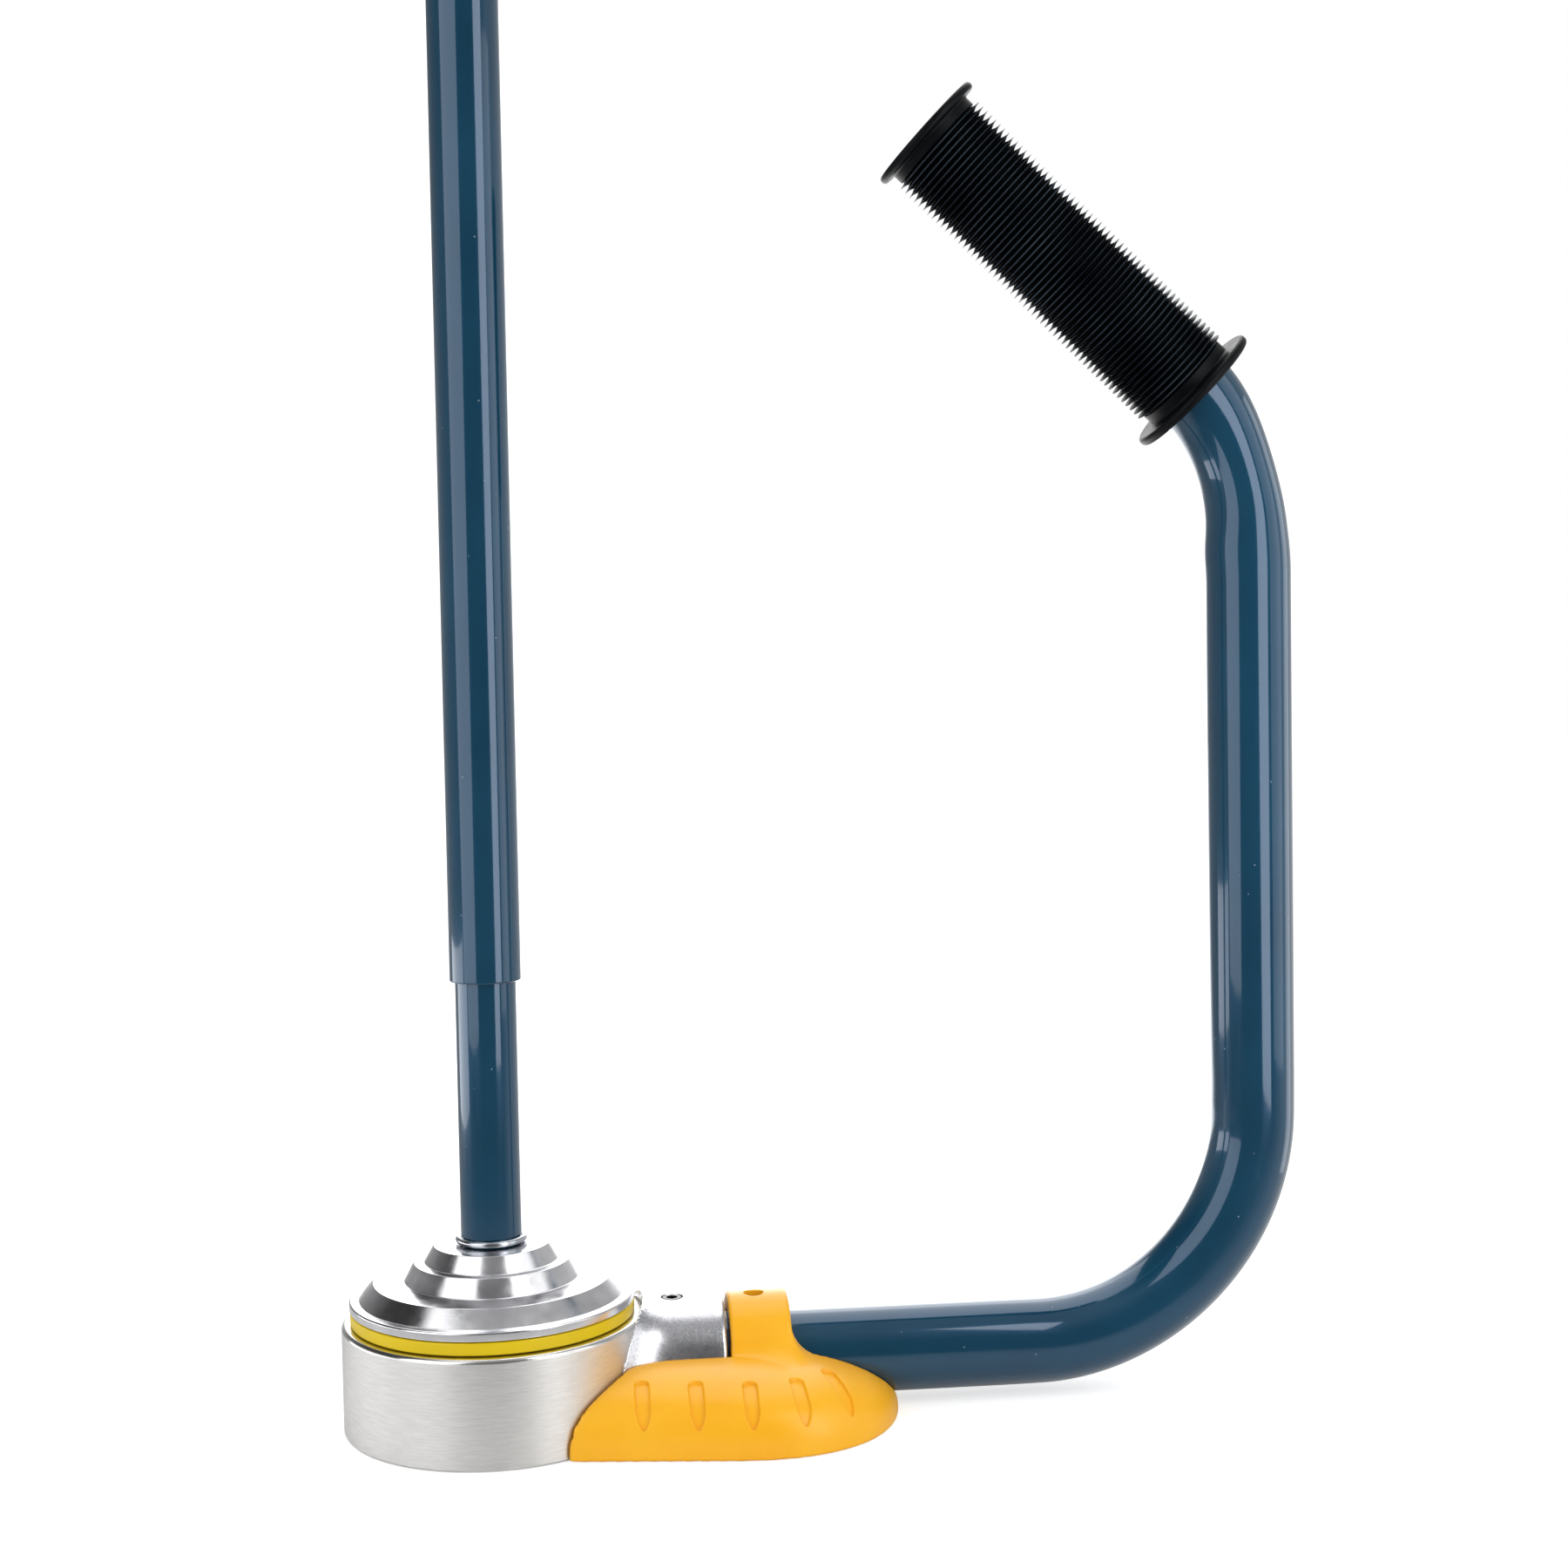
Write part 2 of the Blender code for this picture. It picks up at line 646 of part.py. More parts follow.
def outer_pole():
    tube = sleeve(
        "outer_pole", outer_radius, outer_bore_radius, OUTER_POLE_BOTTOM, outer_top, TUBE_STEPS, BLUE_PAINT
    )
    stem = outer_bore_radius - FIT_GAP
    seat = outer_top + RUNNING_GAP
    profile = [(0.0, seat + CAP_HEAD)]
    for i in range(1, CAP_STEPS + 1):
        angle = math.pi / 2 * i / CAP_STEPS
        profile.append((outer_radius * math.sin(angle), seat + CAP_HEAD * math.cos(angle)))
    profile += [(stem, seat), (stem, outer_top - CAP_STEM), (0.0, outer_top - CAP_STEM)]
    cap = turned("pole_cap", profile, TUBE_STEPS, BLACK_RUBBER)
    return tube, cap


# Handle

def bump(share):
    """Rises smoothly from 0 to 1 and back over a share that runs from 0 to 1."""
    if share <= 0.0 or share >= 1.0:
        return 0.0
    return math.sin(math.pi * share) ** 2


def handle_path():
    """Stations along the tube: centre, heading in the XZ plane and flattening of the section."""
    stations = []
    run_end = TUBE_UPRIGHT_X - LOWER_BEND_RADIUS
    lower_lead = FLATTENING_LEAD / LOWER_BEND_RADIUS
    stations.append((Vector((SOCKET_FLOOR_X + RUNNING_GAP, 0.0, TUBE_AXIS_HEIGHT)), 0.0, 0.0))
    stations.append((Vector((run_end - FLATTENING_LEAD, 0.0, TUBE_AXIS_HEIGHT)), 0.0, 0.0))
    lower_span = math.pi / 2 + 2 * lower_lead
    for i in range(LOWER_BEND_STEPS + 1):
        turn = math.pi / 2 * i / LOWER_BEND_STEPS
        swing = Vector((math.sin(turn), 0.0, 1.0 - math.cos(turn))) * LOWER_BEND_RADIUS
        centre = Vector((run_end, 0.0, TUBE_AXIS_HEIGHT)) + swing
        stations.append((centre, turn, LOWER_FLATTENING * bump((turn + lower_lead) / lower_span)))
    upright_low = TUBE_AXIS_HEIGHT + LOWER_BEND_RADIUS
    stations.append((Vector((TUBE_UPRIGHT_X, 0.0, upright_low + FLATTENING_LEAD)), math.pi / 2, 0.0))
    upper_tangent = UPPER_BEND_RADIUS * math.tan(bend_angle / 2)
    bend_low = UPPER_CORNER_HEIGHT - upper_tangent
    upper_lead = FLATTENING_LEAD / UPPER_BEND_RADIUS
    upper_span = bend_angle + upper_lead
    for i in range(BEND_LEAD_STEPS):
        height = bend_low - FLATTENING_LEAD * (1 - i / BEND_LEAD_STEPS)
        share = (height - bend_low + FLATTENING_LEAD) / UPPER_BEND_RADIUS / upper_span
        centre = Vector((TUBE_UPRIGHT_X, 0.0, height))
        stations.append((centre, math.pi / 2, UPPER_FLATTENING * bump(share)))
    for i in range(UPPER_BEND_STEPS + 1):
        turn = bend_angle * i / UPPER_BEND_STEPS
        swing = Vector((math.cos(turn) - 1.0, 0.0, math.sin(turn))) * UPPER_BEND_RADIUS
        centre = Vector((TUBE_UPRIGHT_X, 0.0, bend_low)) + swing
        share = (turn + upper_lead) / upper_span
        stations.append((centre, math.pi / 2 + turn, UPPER_FLATTENING * bump(share)))
    end = grip_start + (GRIP_LENGTH - GRIP_END_WALL - RUNNING_GAP) * grip_direction
    stations.append((end, math.pi / 2 + bend_angle, 0.0))
    return stations


def tube_ring(centre, heading, flattening, radius):
    """One section of the tube: squeezed from the outer side of the bend, and a little wider across it."""
    inward = Vector((-math.sin(heading), 0.0, math.cos(heading)))
    across = Vector((0.0, 1.0, 0.0))
    middle = centre + inward * flattening * tube_radius
    ring = []
    for i in range(TUBE_STEPS):
        angle = 2 * math.pi * i / TUBE_STEPS
        in_plane = radius * (1.0 - flattening) * math.cos(angle)
        side = radius * (1.0 + flattening / 2) * math.sin(angle)
        ring.append(middle + inward * in_plane + across * side)
    return ring


def handle_tube():
    """A bent tube with an open bore: an outer and an inner skin joined at the ends."""
    stations = handle_path()
    mesh = bpy.data.meshes.new("handle_tube")
    shape = bmesh.new()
    skins = []
    for radius in (tube_radius, tube_radius - TUBE_WALL):
        rings = [tube_ring(centre, heading, flat, radius) for centre, heading, flat in stations]
        skins.append([[shape.verts.new(point) for point in ring] for ring in rings])
    for skin in skins:
        for row, following in zip(skin, skin[1:]):
            for i in range(TUBE_STEPS):
                k = (i + 1) % TUBE_STEPS
                shape.faces.new((row[i], row[k], following[k], following[i]))
    for end in (0, -1):
        for i in range(TUBE_STEPS):
            k = (i + 1) % TUBE_STEPS
            outer, inner = skins[0][end], skins[1][end]
            shape.faces.new((outer[i], outer[k], inner[k], inner[i]))
    bmesh.ops.recalc_face_normals(shape, faces=shape.faces)
    shape.to_mesh(mesh)
    shape.free()
    mesh.shade_smooth()
    mesh.set_sharp_from_angle(angle=math.radians(SMOOTH_BELOW_DEG))
    return new_object("handle_tube", mesh, BLUE_PAINT)


def handle_grip():
    """A flanged rubber sleeve with fine ribs, closed at the far end."""
    bore = (tube_radius + RUNNING_GAP) / math.cos(math.pi / GRIP_STEPS)
    low_flange, low_thick = GRIP_LOW_FLANGE[0] / 2, GRIP_LOW_FLANGE[1]
    high_flange, high_thick = GRIP_HIGH_FLANGE[0] / 2, GRIP_HIGH_FLANGE[1]
    collar = GRIP_COLLAR_DIAMETER / 2
    rib_low = low_thick + GRIP_LOW_COLLAR
    rib_high = GRIP_LENGTH - high_thick - GRIP_HIGH_COLLAR
    pitch = (rib_high - rib_low) / GRIP_RIBS
    profile = [
        (0.0, GRIP_LENGTH),
        (high_flange - GRIP_EDGE, GRIP_LENGTH),
        (high_flange, GRIP_LENGTH - GRIP_EDGE),
        (high_flange, GRIP_LENGTH - high_thick),
        (collar, GRIP_LENGTH - high_thick),
        (collar, rib_high),
    ]
    for i in range(GRIP_RIBS):
        top = rib_high - pitch * i
        profile.append((GRIP_ROOT_DIAMETER / 2, top - pitch * GRIP_ROOT_SHARE))
        profile.append((GRIP_RIB_DIAMETER / 2, top - pitch * GRIP_CREST_SHARE))
    profile += [
        (GRIP_ROOT_DIAMETER / 2, rib_low),
        (collar, rib_low - GRIP_EDGE),
        (collar, low_thick),
        (low_flange, low_thick),
        (low_flange, GRIP_EDGE),
        (low_flange - GRIP_EDGE, 0.0),
        (bore, 0.0),
        (bore, GRIP_LENGTH - GRIP_END_WALL),
        (0.0, GRIP_LENGTH - GRIP_END_WALL),
    ]
    grip = turned("handle_grip", profile, GRIP_STEPS, BLACK_RUBBER)
    grip.matrix_world = Matrix.Translation(grip_start) @ Matrix.Rotation(-bend_angle, 4, "Y")
    return grip


def socket_grub_screw():
    low = TUBE_AXIS_HEIGHT + tube_radius + RUNNING_GAP
    high = arm_top - GRUB_RECESS
    screw = rod("socket_grub_screw", GRUB_DIAMETER / 2, low, high, SMALL_STEPS, BLACK_STEEL)
    screw.location = (GRUB_X, 0.0, 0.0)
    key = hexagon_cutter("grub_socket", GRUB_SOCKET, high - GRUB_SOCKET_DEPTH, high + GRUB_SOCKET_DEPTH)
    key.location = screw.location
    cut(screw, key)


# Foot

def nose_share(x):
    """What the nose leaves of the foot's width: all of it, then falling to nothing in a rounded end."""
    share = min(1.0, max(0.0, (x - FOOT_STRAIGHT_X) / (FOOT_NOSE_X - FOOT_STRAIGHT_X)))
    return (1.0 - share**FOOT_NOSE_POWER) ** (1 / FOOT_NOSE_POWER)


def foot_half_width(x):
    """Half the width of the foot's outline on the floor: spreading sides, then a rounded nose."""
    return (FOOT_BACK_WIDTH / 2 + FOOT_SPREAD * (x - FOOT_BACK_X)) * nose_share(x)


def foot_height(x):
    """The crown of the foot: level, then falling to the nose."""
    return FOOT_HEIGHT * nose_share(x) ** FOOT_CROWN_POWER


def foot_dome(name, inset, material=None):
    """The foot's domed body, lofted from sections across X. An inset makes it smaller all round."""
    stations = [FOOT_BACK_X, (FOOT_BACK_X + FOOT_STRAIGHT_X) / 2]
    for i in range(FOOT_NOSE_STEPS):
        angle = math.pi / 2 * i / FOOT_NOSE_STEPS
        stations.append(FOOT_STRAIGHT_X + (FOOT_NOSE_X - FOOT_STRAIGHT_X) * math.sin(angle))
    rings = []
    for x in stations:
        half = max(inset, foot_half_width(x) - inset)
        crown = max(inset, foot_height(x) - inset)
        ring = []
        for i in range(FOOT_SECTION_STEPS + 1):
            angle = math.pi * i / FOOT_SECTION_STEPS
            y, z = math.cos(angle), max(0.0, math.sin(angle))
            reach = (abs(y) ** FOOT_SECTION_POWER + z**FOOT_SECTION_POWER) ** (1 / FOOT_SECTION_POWER)
            ring.append(Vector((x, half * y / reach, crown * z / reach)))
        rings.append(ring)
    return loft(name, rings, material)


def flute_places():
    """Where each flute stands along X, spaced evenly along the outline, and how far it turns to the nose."""
    x = FLUTE_FIRST_X
    nudge = FLUTE_PITCH / FLUTE_WALK_STEPS
    for i in range(FLUTE_COUNT):
        slope = (foot_half_width(x + nudge) - foot_half_width(x)) / nudge
        yield x, max(0.0, FLUTE_TURN_SHARE * math.atan(-slope))
        run = 0.0
        while run < FLUTE_PITCH:
            run += math.hypot(nudge, foot_half_width(x + nudge) - foot_half_width(x))
            x += nudge


def flute_cutters():
    """Upright prisms with a pointed foot, down to below the skin. The inner ends are the heads."""
    mesh = bpy.data.meshes.new("foot_flutes")
    shape = bmesh.new()
    half = FLUTE_WIDTH / 2
    point_top = FLUTE_LOW + FLUTE_POINT
    over = FOOT_HEIGHT + FLUTE_OVERRUN
    left = [(-half, over), (-half, point_top)]
    right = [(half, point_top), (half, over)]
    outline = left + [(0.0, FLUTE_LOW)] + right
    for x, turn in flute_places():
        inward = FLUTE_INWARD + FLUTE_INWARD_PER_TURN * turn
        for side in (1, -1):
            out = Vector((math.sin(turn), side * math.cos(turn), 0.0))
            along = Vector((-out.y, out.x, 0.0))
            root = Vector((x, side * foot_half_width(x), 0.0))
            rows = []
            for depth in (-inward, FLUTE_OVERRUN):
                row = []
                for u, z in outline:
                    row.append(shape.verts.new(root + out * depth + along * u + Vector((0.0, 0.0, z))))
                rows.append(row)
            count = len(outline)
            for i in range(count):
                k = (i + 1) % count
                shape.faces.new((rows[0][i], rows[0][k], rows[1][k], rows[1][i]))
            shape.faces.new(rows[0])
            shape.faces.new(rows[1])
    bmesh.ops.recalc_face_normals(shape, faces=shape.faces)
    shape.to_mesh(mesh)
    shape.free()
    flutes = new_object("foot_flutes", mesh)
    cut(flutes, foot_dome("foot_inner_dome", FLUTE_DEPTH))
    return flutes


def collar_band():
    """The band over the tube: a side outline with a fillet, pushed across Y and trimmed round the tube."""
    right = collar_left + COLLAR_WIDTH
    base = FOOT_HEIGHT * COLLAR_ROOT_SHARE
    crown = FOOT_HEIGHT * COLLAR_SEAT_SHARE
    over = collar_top + COLLAR_WIDTH
    outline = [(collar_left, base), (collar_left, over), (right, over)]
    for i in range(FILLET_STEPS + 1):
        angle = math.pi / 2 * i / FILLET_STEPS
        x = right + COLLAR_FILLET * (1 - math.cos(angle))
        outline.append((x, crown + COLLAR_FILLET * (1 - math.sin(angle))))
    outline.append((right + COLLAR_FILLET, base))
    half = COLLAR_DIAMETER
    rings = [[Vector((x, side, z)) for x, z in outline] for side in (-half, half)]
    band = loft("collar_band", rings)
    round_skin = rod("collar_round", COLLAR_DIAMETER / 2, SOCKET_FLOOR_X, FOOT_NOSE_X, DRUM_STEPS)
    lay_along_x(round_skin, TUBE_AXIS_HEIGHT)
    boolean(band, round_skin, "INTERSECT")
    return band


def foot_guard():
    foot = foot_dome("foot_guard", 0.0, ORANGE_PLASTIC)
    cut(foot, flute_cutters())
    boolean(foot, collar_band(), "UNION")
    drum_room = rod("drum_room", drum_radius + RUNNING_GAP, -DRUM_HEIGHT, 2 * DRUM_HEIGHT, DRUM_STEPS)
    arm_room = arm_clearance()
    tube_room = rod("tube_room", tube_radius + RUNNING_GAP, SOCKET_FLOOR_X, 2 * FOOT_NOSE_X, DRUM_STEPS)
    lay_along_x(tube_room, TUBE_AXIS_HEIGHT)
    hole = rod("foot_hole", FOOT_HOLE_DIAMETER / 2, TUBE_AXIS_HEIGHT, 2 * collar_top, SMALL_STEPS)
    hole.location = (foot_hole_x, 0.0, 0.0)
    cut(foot, drum_room, arm_room, tube_room, hole)


def arm_clearance():
    """Room for the arm in the foot, open at the floor under it."""
    end = ARM_END_X + COLLAR_GAP
    profile = [(0.0, end), (arm_radius + RUNNING_GAP, end)]
    profile += arm_flare(RUNNING_GAP) + [(0.0, flare_start)]
    room = turned("arm_room", profile, DRUM_STEPS)
    lay_along_x(room, TUBE_AXIS_HEIGHT)
    return room


def foot_screw():
    low = TUBE_AXIS_HEIGHT + tube_radius + RUNNING_GAP
    high = low + FOOT_SCREW_HEIGHT
    screw = rod("foot_screw", FOOT_HOLE_DIAMETER / 2 - FIT_GAP, low, high, SMALL_STEPS, ZINC_STEEL)
    screw.location = (foot_hole_x, 0.0, 0.0)
    key_low = high - FOOT_SCREW_HEIGHT / 2
    key = hexagon_cutter("foot_screw_socket", GRUB_SOCKET, key_low, high + FOOT_SCREW_HEIGHT)
    key.location = screw.location
    cut(screw, key)


def axis_empty(name, *pieces):
    """An empty on a joint's axis that carries the pieces that move with it."""
    made = bpy.data.objects.new(name, None)
    PARTS.objects.link(made)
    for piece in pieces:
        piece.parent = made
    return made


base_housing()
bottom_cover()
friction_ring()
hub = core_hub()
bushes = hub_bushes()
snap_ring()
inner_pole()
pole_fastening()
lock_sleeve, lock_nut = twist_lock()
upper_tube, upper_cap = outer_pole()
handle_tube()
handle_grip()
socket_grub_screw()
foot_guard()
foot_screw()
axis_empty("hub_axis", hub, *bushes)
axis_empty("lock_axis", lock_sleeve)
axis_empty("pole_axis", upper_tube, upper_cap)
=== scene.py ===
"""Looks of a hand-held stretch-film dispenser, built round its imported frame.

Sizes are in millimetres and turned to metres where a mesh is made. The drum's axis is Z, and the handle lies
on +X.
"""

import math

import bmesh
import bpy
import numpy as np
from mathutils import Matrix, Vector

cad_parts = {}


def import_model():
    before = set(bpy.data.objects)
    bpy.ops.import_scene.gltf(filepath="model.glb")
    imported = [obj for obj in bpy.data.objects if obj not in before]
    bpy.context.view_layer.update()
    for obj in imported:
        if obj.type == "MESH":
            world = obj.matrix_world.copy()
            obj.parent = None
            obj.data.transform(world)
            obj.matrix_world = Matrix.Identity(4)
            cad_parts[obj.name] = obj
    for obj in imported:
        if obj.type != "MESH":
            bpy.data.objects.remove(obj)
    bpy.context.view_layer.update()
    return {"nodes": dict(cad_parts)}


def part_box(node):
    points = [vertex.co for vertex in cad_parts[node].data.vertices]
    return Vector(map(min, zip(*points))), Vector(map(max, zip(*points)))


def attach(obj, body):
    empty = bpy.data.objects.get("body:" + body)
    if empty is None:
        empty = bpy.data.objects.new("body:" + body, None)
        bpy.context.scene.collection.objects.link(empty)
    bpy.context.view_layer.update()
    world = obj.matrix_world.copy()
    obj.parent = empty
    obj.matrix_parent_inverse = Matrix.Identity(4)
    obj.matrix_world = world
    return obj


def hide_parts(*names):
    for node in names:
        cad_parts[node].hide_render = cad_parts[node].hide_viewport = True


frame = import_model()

import openvdb
from mathutils import Matrix, Vector

MM = 0.001
GAP = 0.3  # kept between pieces that touch
FIT_GAP = 0.25  # round a piece that is pressed or slid into another
WELD = 0.000001  # corners of a mesh nearer than this are one, in metres

# Sizes read from the frame


def node_box(node):
    """A node's lowest and highest corner in millimetres."""
    low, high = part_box(node)
    return low / MM, high / MM


DRUM_RADIUS = -node_box("base_housing")[0].x
DRUM_HEIGHT = node_box("friction_ring")[0].z - GAP
COVER_RADIUS = node_box("bottom_cover")[1].x
COVER_TOP = node_box("bottom_cover")[1].z
RING_LOW, RING_HIGH = (corner.z for corner in node_box("friction_ring"))
RING_RADIUS = node_box("friction_ring")[1].x
HUB_LOW = node_box("core_hub")[0].z
FLANGE_RADIUS = node_box("core_hub")[1].x
BUSH_RADIUS = node_box("hub_bush_upper")[1].x
POLE_LOW, POLE_HIGH = (corner.z for corner in node_box("inner_pole"))
POLE_RADIUS = node_box("inner_pole")[1].x
OUTER_LOW, OUTER_HIGH = (corner.z for corner in node_box("outer_pole"))
OUTER_RADIUS = node_box("outer_pole")[1].x
CAP_LOW, CAP_HIGH = (corner.z for corner in node_box("pole_cap"))
TUBE_RADIUS = 12.7
TUBE_AXIS = node_box("handle_tube")[0].z + TUBE_RADIUS
GRUB_X = (node_box("socket_grub_screw")[0].x + node_box("socket_grub_screw")[1].x) / 2
FOOT_HOLE_X = (node_box("foot_screw")[0].x + node_box("foot_screw")[1].x) / 2
FOOT_NOSE, FOOT_SIDE = node_box("foot_guard")[1].xy
ARM_END = node_box("base_housing")[1].x


# Handle and grip

UPRIGHT_X = 229.0
LOWER_BEND, UPPER_BEND = 67.0, 56.0
UPPER_CORNER = 283.5
BEND_ANGLE = math.radians(46.6)
LOWER_FLATTENING, UPPER_FLATTENING, FLATTENING_LEAD = 0.035, 0.10, 14.0
TUBE_STEPS = 64
GRIP_OFFSET, GRIP_LENGTH = 21.4, 111.5
GRIP_WAY = Vector((-math.sin(BEND_ANGLE), 0.0, math.cos(BEND_ANGLE)))
GRIP_START = Vector((UPRIGHT_X, 0.0, UPPER_CORNER)) + GRIP_OFFSET * GRIP_WAY
TUBE_SHY_OF_GRIP = 3.3
LOWER_DIE_MARK, UPPER_DIE_MARK, DIE_MARK_LENGTH, UPPER_DIE_LEAD = 0.12, 0.35, 9.0, 8.0
LOW_FLANGE, LOW_THICKNESS, LOW_COLLAR = 21.3, 2.8, 3.6
HIGH_FLANGE, HIGH_THICKNESS, HIGH_COLLAR = 18.75, 2.4, 3.3
GRIP_COLLAR = 15.1
RIBS_LOW = LOW_THICKNESS + LOW_COLLAR
RIBS_HIGH = GRIP_LENGTH - HIGH_THICKNESS - HIGH_COLLAR
GRIP_ROOT, GRIP_CREST, GRIP_RIBS = 13.8, 16.6, 56
CREST_HIGHLIGHT_DEPTH = 1.7  # how far down from the crest a rib carries the painted highlight
RIB_WIDTH_SHARE, RIB_SUNK, RIB_HOLLOW, RIB_SIDES = 0.96, 0.5, 0.7, 64
GRIP_END_WALL = 3.0
LOW_FLANGE_EDGE, HIGH_FLANGE_EDGE, GRIP_MOUTH_EDGE = 1.2, 1.0, 0.5
COLLAR_ROOT, COLLAR_RIM, COLLAR_SLOPE = 0.8, 0.3, 0.2
GRIP_TURN = Matrix.Translation(GRIP_START * MM) @ Matrix.Rotation(-BEND_ANGLE, 4, "Y")


# Helpers for objects, nodes and colours


def in_scene(name, data):
    """A new object in the scene."""
    made = bpy.data.objects.new(name, data)
    bpy.context.scene.collection.objects.link(made)
    return made


def linear(hex_colour):
    """An sRGB hex colour as linear RGBA."""
    values = [int(hex_colour[i : i + 2], 16) / 255 for i in (1, 3, 5)]
    return [v / 12.92 if v <= 0.04045 else ((v + 0.055) / 1.055) ** 2.4 for v in values] + [1.0]


def features(size):
    """A pattern's scale for features of this size in millimetres."""
    return 1 / (size * MM)


def add(tree, kind, inputs=None, out=0, **settings):
    """Adds a node with its settings, sets or links its inputs, and gives one of its outputs."""
    node = tree.nodes.new(kind)
    for name, value in settings.items():
        setattr(node, name, value)
    for name, value in (inputs or {}).items():
        if isinstance(value, bpy.types.NodeSocket):
            tree.links.new(value, node.inputs[name])
        else:
            node.inputs[name].default_value = value
    return node.outputs[out] if node.outputs else None


def new_material(name, **values):
    """A material with a Principled BSDF, and its tree and shader."""
    made = bpy.data.materials.new(name)
    made.use_nodes = True
    tree = made.node_tree
    shader = tree.nodes["Principled BSDF"]
    for socket, value in values.items():
        shader.inputs[socket.replace("_", " ")].default_value = value
    return made, tree, shader


def feed(tree, shader, **sources):
    """Links patterns to a shader's inputs."""
    for socket, source in sources.items():
        tree.links.new(source, shader.inputs[socket.replace("_", " ")])


# Materials

NOISE_MIDDLE = {"From Min": 0.3, "From Max": 0.7}  # where most of a noise lies


def brushed_aluminium():
    """Drum. A belt run round it leaves short level streaks, which draw reflections out up and down.

    The streaks are too fine to show, so they are drawn coarser, 0.26 mm wide. The rounded edges are turned,
    so they mirror more sharply.
    """
    made, tree, shader = new_material(
        "brushed_aluminium", Metallic=1.0, Anisotropic=0.5, Anisotropic_Rotation=0.25
    )
    place = add(tree, "ShaderNodeTexCoord", out="Object")
    streak_size = (features(6.0), features(6.0), features(0.26))
    drawn_out = add(tree, "ShaderNodeMapping", {"Vector": place, "Scale": streak_size})
    streaks = add(
        tree, "ShaderNodeTexNoise", {"Vector": drawn_out, "Scale": 1.0, "Detail": 4.0, "Roughness": 0.65}
    )
    tone = add(tree, "ShaderNodeMapRange", {"Value": streaks, "From Min": 0.25, "From Max": 0.75})
    colour = add(
        tree, "ShaderNodeMix", {0: tone, 6: linear("#DBDAD8"), 7: linear("#F5F4F2")}, 2, data_type="RGBA"
    )
    clouds = add(tree, "ShaderNodeTexNoise", {"Vector": place, "Scale": features(14.0), "Detail": 2.0})
    wall_range = {**NOISE_MIDDLE, "To Min": 0.42, "To Max": 0.50}
    wall = add(tree, "ShaderNodeMapRange", {"Value": clouds, **wall_range})
    facing = add(tree, "ShaderNodeNewGeometry", out="Normal")
    lean = add(tree, "ShaderNodeSeparateXYZ", {"Vector": facing}, "Z")
    leaning = add(tree, "ShaderNodeMath", {0: lean}, operation="ABSOLUTE")
    edge = add(tree, "ShaderNodeMapRange", {"Value": leaning, "From Min": 0.1, "From Max": 0.4})
    rough = add(tree, "ShaderNodeMix", {"Factor": edge, "A": wall, "B": 0.18})
    bump = add(tree, "ShaderNodeBump", {"Height": streaks, "Distance": 0.03 * MM, "Strength": 0.5})
    level = add(tree, "ShaderNodeTangent", direction_type="RADIAL", axis="Z")
    feed(tree, shader, Base_Color=colour, Roughness=rough, Normal=bump, Tangent=level)
    return made


def turned_aluminium():
    """Hub. A lathe tool leaves rings, too fine to show, so they are drawn coarser, 0.25 mm apart.

    Handling leaves scuffs, small pits and a grain that breaks up the edges of reflections.
    """
    made, tree, shader = new_material("turned_aluminium", Metallic=1.0)
    place = add(tree, "ShaderNodeTexCoord", out="Object")
    flat = add(tree, "ShaderNodeVectorMath", {0: place, 1: (1.0, 1.0, 0.0)}, operation="MULTIPLY")
    out = add(tree, "ShaderNodeVectorMath", {0: flat}, "Value", operation="LENGTH")
    height = add(tree, "ShaderNodeSeparateXYZ", {"Vector": place}, "Z")
    across = add(tree, "ShaderNodeMath", {0: out, 1: height}, operation="SUBTRACT")
    rings = add(
        tree,
        "ShaderNodeTexNoise",
        {"W": across, "Scale": features(0.25), "Detail": 2.0},
        noise_dimensions="1D",
    )
    scuffs = add(tree, "ShaderNodeTexNoise", {"Vector": place, "Scale": features(6.0), "Detail": 5.0})
    wear_and_painted_highlight = add(tree, "ShaderNodeMapRange", {"Value": scuffs, **NOISE_MIDDLE})
    colour = add(
        tree, "ShaderNodeMix", {0: wear_and_painted_highlight, 6: linear("#DADADD"), 7: linear("#EBEBEE")}, 2, data_type="RGBA"
    )
    rough = add(tree, "ShaderNodeMapRange", {"Value": wear_and_painted_highlight, "To Min": 0.13, "To Max": 0.24})
    grain = add(tree, "ShaderNodeTexNoise", {"Vector": place, "Scale": features(0.6), "Detail": 3.0})
    pit_range = {"From Min": 0.62, "From Max": 0.72, "To Min": 0.0, "To Max": -0.8}
    pits = add(tree, "ShaderNodeMapRange", {"Value": grain, **pit_range})
    marks = add(tree, "ShaderNodeMath", {0: rings, 1: pits}, operation="ADD")
    height_map = add(tree, "ShaderNodeMath", {0: marks, 1: grain}, operation="ADD")
    bump = add(tree, "ShaderNodeBump", {"Height": height_map, "Distance": 0.006 * MM, "Strength": 0.6})
    feed(tree, shader, Base_Color=colour, Roughness=rough, Normal=bump)
    return made


